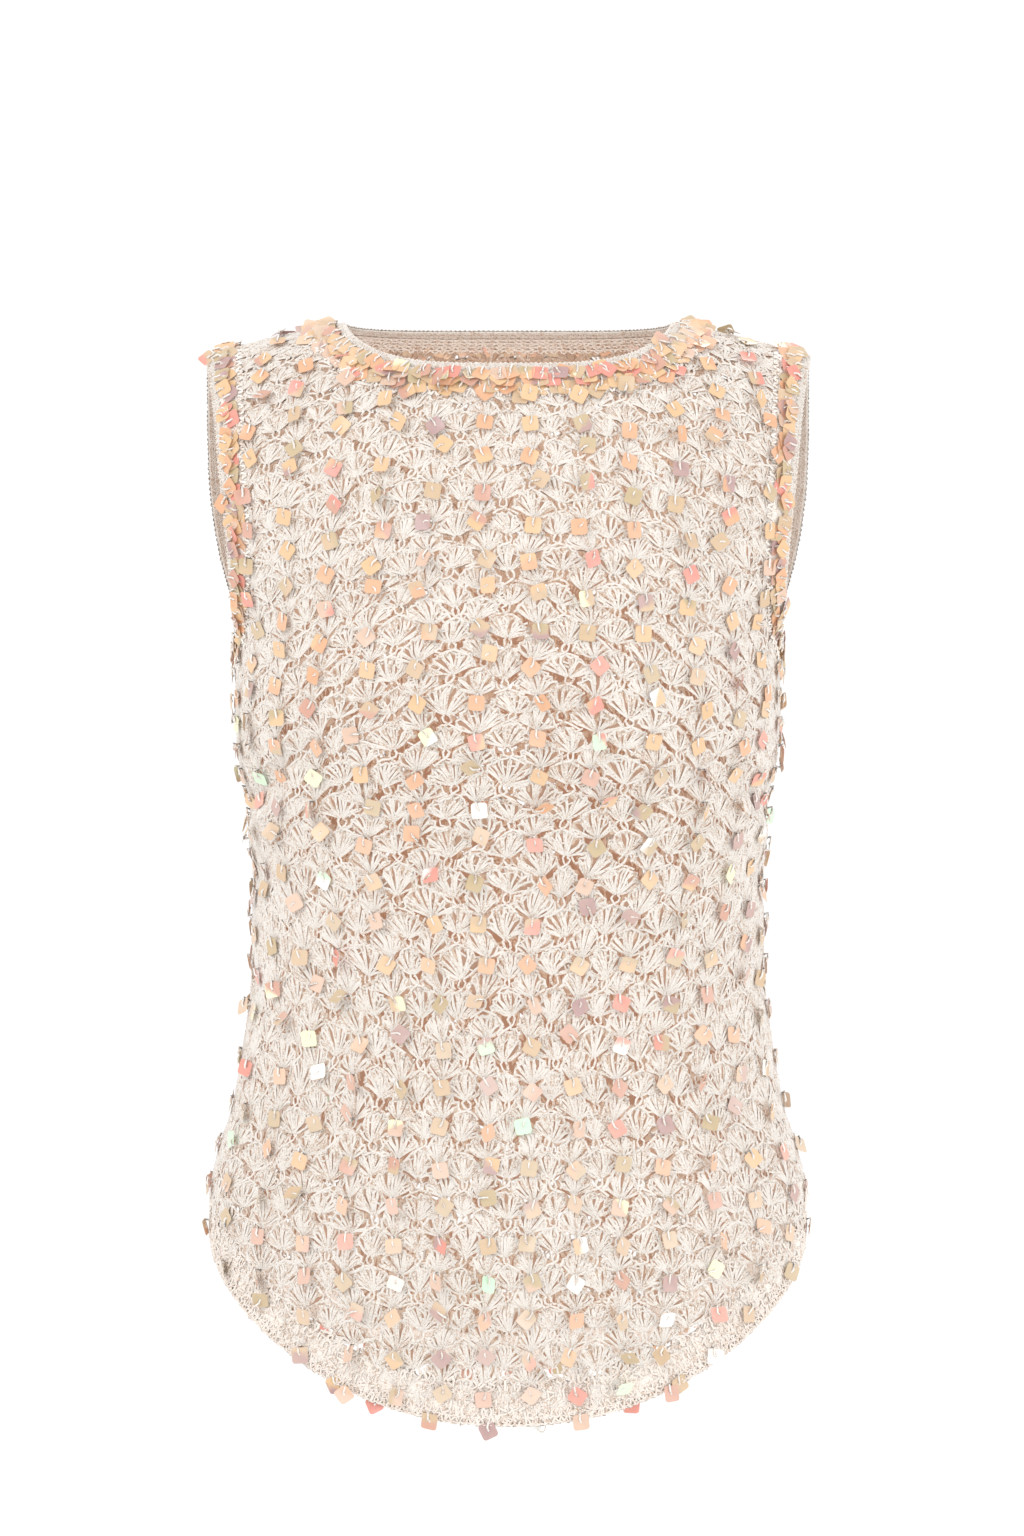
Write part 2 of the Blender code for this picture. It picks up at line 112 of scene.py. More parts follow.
# %% The main creases, a row for each, on both halves of its face
Fold = namedtuple("Fold", "face across drop length tilt_deg depth width")
FOLDS = (
    Fold("front", 0.150, 0.268, 0.150, 24.0, -0.0060, 0.0120),
    Fold("front", 0.165, 0.296, 0.110, 16.0, 0.0038, 0.0110),
    Fold("front", 0.185, 0.330, 0.090, 8.0, -0.0042, 0.0100),
    Fold("front", 0.190, 0.392, 0.085, -10.0, -0.0038, 0.0110),
    Fold("front", 0.150, 0.480, 0.150, 74.0, -0.0044, 0.0160),
    Fold("front", 0.080, 0.520, 0.170, 84.0, 0.0028, 0.0180),
    Fold("front", 0.125, 0.120, 0.100, 62.0, -0.0026, 0.0120),
    Fold("back", 0.150, 0.262, 0.120, 20.0, -0.0036, 0.0120),
    Fold("back", 0.120, 0.318, 0.130, 8.0, -0.0040, 0.0110),
    Fold("back", 0.090, 0.352, 0.150, 3.0, 0.0032, 0.0110),
    Fold("back", 0.125, 0.384, 0.120, -6.0, -0.0034, 0.0110),
    Fold("back", 0.140, 0.500, 0.140, 78.0, -0.0034, 0.0170),
    Fold("back", 0.060, 0.130, 0.110, 70.0, -0.0024, 0.0140),
)
SIGN = {"front": -1.0, "back": 1.0}
OTHER = {"front": "back", "back": "front"}
for face in SIGN:
    print("creases on each half of the", face, sum(fold.face == face for fold in FOLDS))


# %% Helpers that look up tables, and turn a path into a drop
def smooth(x, knots, values):
    """Cubic through a table's rows that never overshoots: a knot's slope is the harmonic mean of
    the two beside it, or level where they differ in sign."""
    steps = np.diff(knots)
    secants = np.diff(values) / steps
    product = secants[:-1] * secants[1:]
    total = np.where(product > 0.0, secants[:-1] + secants[1:], 1.0)
    inner = np.where(product > 0.0, 2.0 * product / total, 0.0)
    slopes = np.concatenate([secants[:1], inner, secants[-1:]])
    index = np.clip(np.searchsorted(knots, x) - 1, 0, len(steps) - 1)
    t = np.clip((x - knots[index]) / steps[index], 0.0, 1.0)
    rise = values[index + 1] - values[index]
    bend = t * (1.0 - t) * ((1.0 - t) * slopes[index] - t * slopes[index + 1]) * steps[index]
    return values[index] + rise * t * t * (3.0 - 2.0 * t) + bend


def level_column(name, drop):
    """One named column of LEVELS at any drop."""
    knots = np.array([row.drop for row in LEVELS])
    return smooth(drop, knots, np.array([getattr(row, name) for row in LEVELS]))


def drop_of(path):
    """Drop below the shoulder line: a quarter turn over the shoulder, then straight down."""
    turn = np.clip(1.0 - path / SHOULDER_PATH, 0.0, 1.0) * math.pi / 2.0
    return SHOULDER_RADIUS * (1.0 - np.sin(turn)) + np.maximum(path - SHOULDER_PATH, 0.0)


def reach_of(path):
    """Share of the body's depth that the cloth has reached: the cosine of the same turn."""
    return np.cos(np.clip(1.0 - path / SHOULDER_PATH, 0.0, 1.0) * math.pi / 2.0)


def path_of(drop):
    """Inverse of drop_of."""
    turn = np.arcsin(np.clip(1.0 - drop / SHOULDER_RADIUS, 0.0, 1.0))
    over_shoulder = SHOULDER_PATH * (1.0 - turn * 2.0 / math.pi)
    return np.where(drop < SHOULDER_RADIUS, over_shoulder, SHOULDER_PATH + drop - SHOULDER_RADIUS)


def unit(vectors):
    """The same directions with length 1."""
    return vectors / np.maximum(np.linalg.norm(vectors, axis=-1, keepdims=True), 1e-12)


def between(table, row, column):
    """A table's value at fractions of a row and a column, by bilinear lookup."""
    low = np.minimum(row.astype(int), table.shape[0] - 2)
    left = np.minimum(column.astype(int), table.shape[1] - 2)
    part, aside = (row - low)[..., None], (column - left)[..., None]
    upper = table[low, left] * (1.0 - aside) + table[low, left + 1] * aside
    lower = table[low + 1, left] * (1.0 - aside) + table[low + 1, left + 1] * aside
    return upper * (1.0 - part) + lower * part


print("path to the underarm (mm):", round(float(path_of(ARMHOLE_DROP)) / MM))

# %% The surface of one face
TABLE_STEP = 0.002
TABLE_COLUMNS = 140
EVEN = np.linspace(0.0, 1.0, TABLE_COLUMNS + 1)
QUARTER = np.linspace(0.0, math.pi / 2.0, 4 * TABLE_COLUMNS + 1)
QUARTER_X = np.sin(QUARTER) ** (2.0 / BODY_SQUARENESS)
QUARTER_Y = np.cos(QUARTER).clip(0.0) ** (2.0 / BODY_SQUARENESS)


class Cloth:
    """The middle of one face's cloth, as a table of points by path and by share of the girth.

    A level row is a superellipse, x = width sin(t)^(2/n) and y = depth cos(t)^(2/n), walked at an
    even pace, and its height is minus the drop plus the slope of the shoulders.
    """

    def __init__(self, face):
        self.face = face
        self.paths = np.arange(0.0, path_of(LEVELS[-1].drop), TABLE_STEP)
        drops = drop_of(self.paths)
        turn = np.clip((drops - ARMHOLE_ROUND_FROM) / (ARMHOLE_DROP - ARMHOLE_ROUND_FROM), 0.0, 1.0)
        share = ARMHOLE_SHARE[face] * np.sqrt(1.0 - turn * turn)
        x, y = self.level_rows(drops, share)
        steps = np.hypot(np.diff(x, axis=1), np.diff(y, axis=1))
        length = np.concatenate([np.zeros((len(x), 1)), np.cumsum(steps, axis=1)], axis=1)
        self.girth = length[:, -1]
        self.edge = np.array([np.interp(-s, -QUARTER_Y, row) for s, row in zip(share, length)])
        rows = zip(length, x, y)
        flat = [[np.interp(EVEN * row[-1], row, line) for line in (a, b)] for row, a, b in rows]
        flat = np.array(flat).transpose(0, 2, 1)
        self.points = np.concatenate([flat, np.zeros(flat.shape[:2] + (1,))], axis=2)
        self.points[:, :, 1] *= SIGN[face]
        self.points[:, :, 2] = self.heights(drops[:, None])
        self.normals = self.measure_normals()
        creases = self.crease(EVEN * self.girth[:, None], drops[:, None])
        self.points += self.normals * creases[:, :, None]
        self.normals = self.measure_normals()

    def level_rows(self, drops, share):
        """A quarter superellipse at every drop, wide enough to pass the armhole's edge, whose own
        depth is the given share of the row's."""
        n = BODY_SQUARENESS
        armhole = smooth(drops, ARMHOLE_DROPS, ARMHOLE_HALF_WIDTHS[self.face])
        edge = np.where(drops < ARMHOLE_DROP, armhole, level_column("half_width", drops))
        width = edge / (1.0 - share ** n) ** (1.0 / n)
        depth = level_column(self.face + "_depth", drops) * reach_of(self.paths)
        return width[:, None] * QUARTER_X, depth[:, None] * QUARTER_Y

    def heights(self, drops):
        """Minus the drop, plus a ridge that falls towards the tips of the shoulders and fades
        out on the way down."""
        fade = np.clip((drops - SHOULDER_RADIUS) / (SLOPE_ENDS - SHOULDER_RADIUS), 0.0, 1.0)
        fade = 1.0 - fade * fade * (3.0 - 2.0 * fade)
        ridge = RIDGE_RISE - RIDGE_FALL * (self.points[:, :, 0] / TIP_HALF_WIDTH) ** RIDGE_POWER
        return -drops + ridge * fade

    def crease(self, across, drop):
        """Sum of the creases: each is a bell across its own line, faded towards both ends."""
        height = np.zeros_like(across * drop)
        for fold in [fold for fold in FOLDS if fold.face == self.face]:
            tilt = math.radians(fold.tilt_deg)
            right, down = across - fold.across, drop - fold.drop
            along = right * math.cos(tilt) + down * math.sin(tilt)
            aside = down * math.cos(tilt) - right * math.sin(tilt)
            fade = np.cos(np.clip(along / fold.length, -0.5, 0.5) * math.pi) ** 2
            height += fold.depth * fade * np.exp(-((aside / fold.width) ** 2))
        return height

    def measure_normals(self):
        """Unit normals out of the body, from the table's own differences."""
        down = np.gradient(self.points, axis=0)
        right = np.gradient(self.points, axis=1)
        right[:, 0, 1:] = 0.0
        return unit(np.cross(down, right) * -SIGN[self.face])

    def at(self, across, path):
        """Points and normals at signed distances across, and paths down.  The table holds the
        wearer's left half, and x changes sign on the other."""
        row = np.clip(path / TABLE_STEP, 0.0, len(self.paths) - 1.001)
        share = np.clip(np.abs(across) / self.half_girth(path), 0.0, 0.99999)
        column = share * TABLE_COLUMNS
        found = [between(table, row, column) for table in (self.points, self.normals)]
        for value in found:
            value[..., 0] *= np.where(across < 0.0, -1.0, 1.0)
        return found[0], unit(found[1])

    def half_girth(self, path):
        """Distance from the centre line to the side seam."""
        return np.interp(path, self.paths, self.girth)

    def edge_across(self, path):
        """Distance from the centre line to the armhole's edge."""
        return np.interp(path, self.paths, self.edge)


cloths = {face: Cloth(face) for face in ("front", "back")}
for face, cloth in cloths.items():
    print(face, "half girths every 10 cm (mm):", np.round(cloth.girth[::50] * 1000.0))

# %% [markdown]
# ## The net that the stitches follow
#
# Crochet has a fixed count of stitches, so its columns spread where the body is wide and close up
# where it is narrow.  A place on the net is a column `k`, from -8 at one side seam to 8 at the
# other, and a row `r`, counted down from the shoulder.  Fans of even rows stand between those of
# odd rows, half a column aside.

# %% Columns and rows
SEAM_COLUMN = 8.0
ROW_KNOTS = path_of(np.array([0.000, 0.290, 0.345, 0.440, 0.500, 0.660]))
ROW_HEIGHTS = np.array([9.9, 9.9, 11.8, 11.8, 10.8, 10.8]) * MM
SPREAD_DROPS = np.array([0.000, 0.100, 0.170, 0.250, 0.310, 0.353, 0.400, 0.432, 0.500, 0.660])
SPREADS = {
    "front": np.array([-0.08, -0.06, 0.09, 0.22, 0.31, 0.20, 0.03, -0.04, -0.12, -0.16]),
    "back": np.array([-0.06, -0.05, 0.00, 0.04, 0.06, 0.04, 0.00, -0.02, -0.06, -0.08]),
}
SAG_DROPS = np.array([0.000, 0.100, 0.165, 0.230, 0.340, 0.390, 0.470, 0.540, 0.660])
SAGS = np.array([0.0, 9.0, 13.0, 4.0, -27.0, -27.0, -9.0, 0.0, 0.0]) * MM
SAG_POWER = {"front": 3.0, "back": 6.0}
fine_paths = np.arange(0.0, cloths["front"].paths[-1], MM)
fine_rows = np.cumsum(MM / smooth(fine_paths, ROW_KNOTS, ROW_HEIGHTS))
print("rows of fans from the shoulder to the deepest hem:", round(float(fine_rows[-1])))


def path_at(row):
    """Distance down the cloth of a row, the inverse of the sum of the rows' heights."""
    return np.interp(row, fine_rows, fine_paths)


def across_at(face, column, path):
    """Distance across of a column: G (f + c f (1 - f f)), for f = k / 8 and half girth G."""
    f = column / SEAM_COLUMN
    spread = smooth(drop_of(path), SPREAD_DROPS, SPREADS[face])
    return cloths[face].half_girth(path) * (f + spread * f * (1.0 - f * f))


def net_path(face, column, row):
    """Path of a net place: its row's, and the sag of the rows, which grows as |k / 8|^3 towards
    the sides, or as its sixth power on the back.  They hang lower beside the armholes and are
    drawn up at the waist."""
    level = path_at(np.abs(row))
    sag = smooth(drop_of(level), SAG_DROPS, SAGS)
    return level + sag * np.clip(np.abs(column) / SEAM_COLUMN, 0.0, 1.0) ** SAG_POWER[face]


def on_net(face, column, row):
    """Points and normals of net places.  Past a side seam or the shoulder line, a place lies on
    the other face, counted back from there."""
    beyond = (np.abs(column) > SEAM_COLUMN) ^ (row < 0.0)
    past_seam = np.abs(column) > SEAM_COLUMN
    column = np.where(past_seam, np.sign(column) * 2.0 * SEAM_COLUMN - column, column)
    path = net_path(face, column, row)
    points, normals = cloths[face].at(across_at(face, column, path), path)
    if beyond.any():
        other, column = OTHER[face], column[beyond]
        path = net_path(other, column, row[beyond])
        points[beyond], normals[beyond] = cloths[other].at(across_at(other, column, path), path)
    return points, normals


# %% Distance from the garment's edges
def hem_path(face, share):
    """Path of the hem at share s of the girth: its drop is the side's plus
    fall (1 - s^2.2)^1.5."""
    fall = (1.0 - np.clip(np.abs(share), 0.0, 1.0) ** HEM_FLATNESS) ** HEM_SIDE_ROUNDING
    return path_of(HEM_SIDE_DROP + HEM_CENTRE_FALL * fall)


def inside(face, column, row, neck, armhole, hem):
    """Whether net places lie further in than the given distances from the three edges.

    The neck is a superellipse, so |a/w|^n + |p/d|^n > 1 is past it, with w and d made longer by
    the distance.  The armhole's edge is looked up the distance further up and moved in by it, and
    below the underarm it is a metre away.
    """
    path = net_path(face, column, np.maximum(row, 0.0))
    across = np.abs(across_at(face, np.clip(column, -SEAM_COLUMN, SEAM_COLUMN), path))
    n = NECK_SQUARENESS[face]
    width, depth = NECK_HALF_WIDTH + neck, NECK_DEPTH[face] + neck
    past_neck = (across / width) ** n + (path / depth) ** n > 1.0
    above = np.maximum(path - armhole, 0.0)
    limit = cloths[face].edge_across(above) - np.where(drop_of(above) < ARMHOLE_DROP, armhole, -1.0)
    past_armhole = across < limit
    share = across / cloths[face].half_girth(path)
    return past_neck & past_armhole & (path < hem_path(face, share) - hem)


print("path to the deepest hem (mm):", round(float(hem_path("front", 0.0)) / MM))

# %% [markdown]
# ## Collecting thousands of tubes in one mesh
#
# Blender could bevel a curve for every strand, but thousands of curve objects are slow.  A tube
# is only a ring of corners at each point of its line, so one array operation makes the rings of
# every strand at once.  Three sides with smooth shading pass for round at this size, and a strand
# that lies on the cloth needs only the two that show.

# %% A skein of tubes
ROUND = math.pi / 2.0 + np.arange(4) * 2.0 * math.pi / 3.0
HALF_ROUND = np.linspace(0.0, math.pi, 3)


class Skein:
    """Tubes, and other faces of four corners, gathered to become one piece."""

    def __init__(self):
        self.points, self.faces, self.uvs, self.tints = [], [], [], []
        self.total = 0

    def add(self, points, faces, uvs, tints):
        """Corner points, faces that index them, a UV for each face corner and a tint, or a
        colour, for each point."""
        self.points.append(points)
        self.faces.append(faces + self.total)
        self.uvs.append(uvs)
        self.tints.append(tints)
        self.total += len(points)

    def lay(self, lines, outward, radius, widen=1.0, turn=HALF_ROUND, shade=0.0):
        """Add a tube along every line: corner = point + radius (widen cos t side + sin t up),
        where side is along x outward and up is side x along.  The turns t that it takes go all
        the way round, or half way for a strand whose underside lies on the cloth.  A strand's
        tint is random, less the shade it lies in."""
        along = unit(np.gradient(lines, axis=1))
        side = unit(np.cross(along, outward))
        up = np.cross(side, along)
        side = side * np.broadcast_to(widen, radius.shape)[:, :, None]
        ring = np.cos(turn)[:, None] * side[:, :, None] + np.sin(turn)[:, None] * up[:, :, None]
        corners = lines[:, :, None] + radius[:, :, None, None] * ring
        index = np.arange(corners.size // 3).reshape(corners.shape[:3])
        if turn[-1] >= 2.0 * math.pi:
            index[:, :, -1] = index[:, :, 0]
        quads = [index[:, :-1, :-1], index[:, 1:, :-1], index[:, 1:, 1:], index[:, :-1, 1:]]
        faces = np.stack([quad.ravel() for quad in quads], axis=1)
        length = np.cumsum(np.linalg.norm(np.diff(lines, axis=1), axis=2), axis=1) / MM
        length = np.concatenate([np.zeros((len(lines), 1)), length], axis=1)
        uv = np.stack(np.broadcast_arrays(length[:, :, None], turn / (2.0 * math.pi)), axis=3)
        corner_uvs = [uv[:, :-1, :-1], uv[:, 1:, :-1], uv[:, 1:, 1:], uv[:, :-1, 1:]]
        uvs = np.stack([corner.reshape(-1, 2) for corner in corner_uvs], axis=1)
        tints = np.broadcast_to(chance.random((len(lines), 1, 1)) - shade, corners.shape[:3])
        self.add(corners.reshape(-1, 3), faces, uvs, tints.ravel())

    def spread(self, grid, uv, tint=0.5):
        """Add a grid of points as faces between its neighbours."""
        index = np.arange(grid.size // 3).reshape(grid.shape[:2])
        quads = [index[:-1, :-1], index[1:, :-1], index[1:, 1:], index[:-1, 1:]]
        faces = np.stack([quad.ravel() for quad in quads], axis=1)
        self.add(grid.reshape(-1, 3), faces, uv.reshape(-1, 2)[faces], np.full(index.size, tint))

    def piece(self, name, material, slot):
        """The gathered faces as one smooth mesh that rides on the garment's body."""
        points, faces = np.concatenate(self.points), np.concatenate(self.faces)
        mesh = bpy.data.meshes.new(name)
        mesh.vertices.add(len(points))
        mesh.vertices.foreach_set("co", points.astype(np.float32).ravel())
        mesh.loops.add(faces.size)
        mesh.loops.foreach_set("vertex_index", faces.astype(np.int32).ravel())
        mesh.polygons.add(len(faces))
        mesh.polygons.foreach_set("loop_start", np.arange(0, faces.size, 4, dtype=np.int32))
        mesh.update(calc_edges=True)
        uv = mesh.uv_layers.new(name="stitch")
        uv.data.foreach_set("uv", np.concatenate(self.uvs).astype(np.float32).ravel())
        tints = np.concatenate(self.tints).astype(np.float32)
        kind = "FLOAT" if tints.ndim == 1 else "FLOAT_COLOR"
        attribute = mesh.attributes.new("tint", kind, "POINT")
        attribute.data.foreach_set("value" if tints.ndim == 1 else "color", tints.ravel())
        mesh.shade_smooth()
        mesh.materials.append(material)
        made = bpy.data.objects.new(name, mesh)
        bpy.context.collection.objects.link(made)
        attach(made, "root")
        print(name, "has", 2 * len(faces), "triangles")
        return made


# %% [markdown]
# ## Shaders as sums
#
# A shader is a graph of nodes, which is hard to read when it is wired by hand.  This class wraps
# one output, so that `1 - mask * 0.5` adds the Math nodes for it, and `node` adds any other kind.

# %% A small language for materials
class Wire:
    """A shader value that can be used in sums."""

    def __init__(self, finish, socket):
        self.finish, self.socket = finish, socket

    def sum(self, operation, first, second):
        return self.finish.node("ShaderNodeMath", {"operation": operation}, {0: first, 1: second})

    def __add__(self, other):
        return self.sum("ADD", self, other)

    def __radd__(self, other):
        return self.sum("ADD", other, self)

    def __sub__(self, other):
        return self.sum("SUBTRACT", self, other)

    def __rsub__(self, other):
        return self.sum("SUBTRACT", other, self)

    def __mul__(self, other):
        return self.sum("MULTIPLY", self, other)

    def __rmul__(self, other):
        return self.sum("MULTIPLY", other, self)

    def __gt__(self, other):
        return self.sum("GREATER_THAN", self, other)

    def least(self, other):
        return self.sum("MINIMUM", self, other)

    def fraction(self):
        return self.sum("FRACT", self, 0.0)

    def absolute(self):
        return self.sum("ABSOLUTE", self, 0.0)

    def sine(self):
        return self.sum("SINE", self, 0.0)


class Finish:
    """One material with a Principled shader."""

    def __init__(self, name, constants):
        self.material = bpy.data.materials.new(name)
        self.material.use_nodes = True
        self.tree = self.material.node_tree
        self.shader = self.tree.nodes["Principled BSDF"]
        for socket, value in constants.items():
            self.shader.inputs[socket].default_value = value

    def node(self, kind, settings, sockets, output=0):
        """A new node: its settings first, then the values or links of its sockets."""
        made = self.tree.nodes.new(kind)
        for name, value in settings.items():
            if name == "stops":
                self.set_stops(made.color_ramp, value)
            else:
                setattr(made, name, value)
        for key, value in sockets.items():
            if isinstance(value, Wire):
                self.tree.links.new(value.socket, made.inputs[key])
            else:
                made.inputs[key].default_value = value
        return Wire(self, made.outputs[output])

    @staticmethod
    def set_stops(ramp, stops):
        """The ramp's colours, as (position, colour) pairs."""
        while len(ramp.elements) < len(stops):
            ramp.elements.new(1.0)
        for element, (position, colour) in zip(ramp.elements, stops):
            element.position, element.color = position, colour

    def feed(self, socket, wire):
        """Link a wire to the Principled shader."""
        self.tree.links.new(wire.socket, self.shader.inputs[socket])

    def part(self, vector, output):
        """One number of a vector: 0 for x or u, 1 for y or v, 2 for z."""
        return self.node("ShaderNodeSeparateXYZ", {}, {0: vector}, output)

    def blend(self, factor, low, high):
        """Mix of two colours."""
        settings = {"data_type": "RGBA"}
        return self.node("ShaderNodeMix", settings, {"Factor": factor, 6: low, 7: high}, 2)

    def ramp(self, value, start, end):
        """0 before start, 1 past end, and smooth between them."""
        settings = {"interpolation_type": "SMOOTHSTEP"}
        sockets = {"Value": value, "From Min": start, "From Max": end}
        return self.node("ShaderNodeMapRange", settings, sockets)

    def noise(self, vector, scale, detail=2.0):
        """Noise from 0 to 1."""
        settings = {"noise_dimensions": "3D"}
        sockets = {"Vector": vector, "Scale": scale, "Detail": detail}
        return self.node("ShaderNodeTexNoise", settings, sockets)

    def bump(self, height, strength, distance):
        """Send a height to the shader's normal."""
        sockets = {"Height": height, "Strength": strength, "Distance": distance}
        self.feed("Normal", self.node("ShaderNodeBump", {}, sockets))


def rgb(red, green, blue):
    """A colour that hides what is behind it."""
    return (red, green, blue, 1.0)


# %% [markdown]
# ## Yarn
#
# The yarn is a soft cotton blend.  Close up it is two plies twisted together, under a haze of
# short fibres, with small dark pits between them.  Hairs of their own would be far too many, so
# the haze is noise in the colour and sheen on the shader, the pits are painted shade in that
# noise, and the twist is a bump of slanted stripes on the tube's own coordinates.  The flanks of
# a strand are painted shade as well.

# %% Materials for the yarn
TWIST = 4.8                    # radians of twist for each mm along a strand
TWIST_ROUND = 12.566           # and for once round it, which slants the stripes
FIBRE_SCALE, PATCH_SCALE = 1100.0, 260.0        # of the noise, per metre
# Painted shade in the dark pits between the fibres
PIT_SHADE = rgb(0.55, 0.40, 0.30)
# Painted shade on the flanks of a strand, down where it lies against the cloth
FLANK_SHADE = rgb(0.68, 0.56, 0.48)


class Yarn(Finish):
    """Cream yarn of two colours, and darker pits between its fibres that are painted shade."""

    def __init__(self, name, light, shade):
        super().__init__(name, {"Roughness": 0.85, "Sheen Weight": 0.25, "Sheen Roughness": 0.5,
                                "Specular IOR Level": 0.35})
        self.place = self.node("ShaderNodeTexCoord", {}, {}, output=3)
        self.fibres = self.noise(self.place, FIBRE_SCALE, 3.0)
        self.patches = self.noise(self.place, PATCH_SCALE, 1.0)
        tint = self.node("ShaderNodeAttribute", {"attribute_name": "tint"}, {}, output=2)
        mixed = self.fibres * 1.4 + self.patches * 0.5 + tint * 0.3 - 0.6
        stops = [(0.22, PIT_SHADE), (0.39, shade), (0.60, light)]
        self.colour = self.node("ShaderNodeValToRGB", {"stops": stops}, {0: mixed})
        uv = self.node("ShaderNodeUVMap", {"uv_map": "stitch"}, {})
        self.u, self.v = self.part(uv, 0), self.part(uv, 1)

    def twisted(self, amount):
        """Feed the shader with the colour, and a twist that repeats every 1.3 mm of u.  A strand's
        flanks are painted tan, a painted shade where it lies against the cloth: v is 0.25 at the
        strand's top, so 2 |fraction(v + 0.25) - 0.5| goes from 0 there to 1 underneath."""
        ply = (self.u * TWIST + self.v * TWIST_ROUND).sine()
        flank = ((self.v + 0.25).fraction() - 0.5).absolute() * 2.0
        shaded = ((flank - 0.27) * 3.2).least(0.75)
        self.feed("Base Color", self.blend(shaded, self.colour, FLANK_SHADE))
        self.bump(ply * amount + self.fibres * 0.9, 0.50, 0.0004)
        return self.material


def yarn(name, light, shade, twist):
    """A finished yarn material."""
    return Yarn(name, rgb(*light), rgb(*shade)).twisted(twist)


strand_yarn = yarn("strand_yarn", (0.825, 0.785, 0.735), (0.76, 0.695, 0.63), 0.35)
thread_yarn = yarn("thread_yarn", (0.90, 0.88, 0.84), (0.86, 0.82, 0.77), 0.20)
# Painted light: the hem and ground yarns are lighter copies of the strand yarn, which lift the
# shade among the hem's tangled strands and on the trims' grounds inside the neck and armholes.
hem_yarn = yarn("hem_yarn", (0.89, 0.815, 0.745), (0.82, 0.73, 0.655), 0.35)
ground_yarn = yarn("ground_yarn", (0.92, 0.88, 0.83), (0.82, 0.75, 0.68), 0.0)
print("yarns:", *(made.name for made in (strand_yarn, thread_yarn, hem_yarn, ground_yarn)))

# %% [markdown]
# ## The fans
#
# A fan is eight tall stitches worked into one place, so they spread from an apex, and the chain
# along their tops ties them.  One fan could be modelled and copied everywhere, but then all would
# be alike, and stiff where the body curves.  Seen flat a fan is a part of an ellipse, so a place
# in it is an angle and a share of the radius.  The same formula serves the thin web of fluff
# between the stitches and the yarn of the stitches themselves.

# %% Where the fans are
POSTS = 8
FAN_HALF_ANGLE = math.radians(72.0)
FAN_WIDTH = {"front": 0.430, "back": 0.475}     # horizontal half axis, in columns
FAN_HEIGHT = {"front": 1.38, "back": 1.60}      # vertical half axis, in rows
FAN_FALL = 0.12                # how much shorter its outermost stitches are
POST_STEP = 2.0 * FAN_HALF_ANGLE / POSTS
POST_ANGLES = (np.arange(POSTS) + 0.5) * POST_STEP - FAN_HALF_ANGLE
FAN_TURN = 0.08                # usual turn of a fan, in radians
FAN_VARIETY = 0.045            # and usual difference in size
DRAWN_FROM_COLUMN = 5.0        # from here out the fans are fully drawn together
CROWDING = 0.16                # how much larger than their share of the net those are
DRAWN_ROWS = np.array([0.0, 15.0, 22.0, 42.0, 50.0, 70.0])
DRAWN = np.array([0.0, 0.0, 1.0, 1.0, 0.2, 0.0])
LOOSENESS = 0.02               # how much smaller those above the waist are
LOOSE_ROWS = np.array([0.0, 20.0, 27.0, 70.0])
LOOSE = np.array([1.0, 1.0, 0.0, 0.0])
LEAN_ROWS = np.array([0.0, 22.0, 27.0, 36.0, 44.0, 70.0])
LEANS = np.array([0.0, 0.0, 0.50, 0.50, 0.0, 0.0])      # in radians, outwards


def fan_apexes():
    """Columns and rows of every apex of one face, half a column aside in every second row."""
    rows = np.arange(1.0, math.floor(fine_rows[-1]) + 3.0)
    columns = np.arange(-SEAM_COLUMN, SEAM_COLUMN + 1.0)
    k, r = np.meshgrid(columns, rows)
    k = k + np.where(r % 2.0 == 0.0, 0.5, 0.0)
    return k.ravel(), r.ravel()


def calm_at(column):
    """How far the net may stray: 1 in the middle, down to 0 at the side seams."""
    return 1.0 - np.clip(np.abs(column) / SEAM_COLUMN, 0.0, 1.0) ** 6


def wander(column, row):
    """A slow drift of the net, as a sum of waves, so that no two fans are alike."""
    aside = 0.055 * np.sin(1.9 * row + 2.3 * column)
    aside = aside + 0.05 * np.sin(0.83 * row - 3.1 * column + 1.0)
    down = 0.10 * np.sin(2.7 * column + 0.9 * row)
    down = down + 0.08 * np.sin(4.3 * column - 1.3 * row + 2.0)
    return column + aside * calm_at(column), row + down * calm_at(column)


# %% Each fan's own turn, size and lean
apex_k, apex_r = fan_apexes()
fan_turn = chance.normal(0.0, FAN_TURN, len(apex_k)) * calm_at(apex_k)
fan_size = 1.0 + chance.normal(0.0, FAN_VARIETY, len(apex_k)) * calm_at(apex_k)
sideness = np.clip(np.abs(apex_k) / DRAWN_FROM_COLUMN, 0.0, 1.0)
fan_drawn = smooth(apex_r, DRAWN_ROWS, DRAWN) * sideness ** 2
fan_size *= 1.0 + CROWDING * fan_drawn - LOOSENESS * smooth(apex_r, LOOSE_ROWS, LOOSE)
outwards = smooth(apex_r, LEAN_ROWS, LEANS) * np.sign(apex_k) * sideness * calm_at(apex_k)
fan_lean = {"front": outwards, "back": 0.0 * outwards}
print("fans to choose from on each face:", len(apex_k))


def in_fans(face, angle, share):
    """Net places of an angle and a share of the radius in every fan, which is the first axis.
    At the waist the front is drawn up at the sides, so its fans lean outwards there."""
    angle, share = np.broadcast_arrays(angle, share)
    axes = (len(apex_k),) + (1,) * (angle.ndim - 1)
    turned = angle + (fan_turn + fan_lean[face]).reshape(axes)
    reach = share * fan_size.reshape(axes) * (1.0 - FAN_FALL * (angle / FAN_HALF_ANGLE) ** 2)
    column = apex_k.reshape(axes) + reach * FAN_WIDTH[face] * np.sin(turned)
    row = apex_r.reshape(axes) - reach * FAN_HEIGHT[face] * np.cos(turned)
    return wander(column, row)


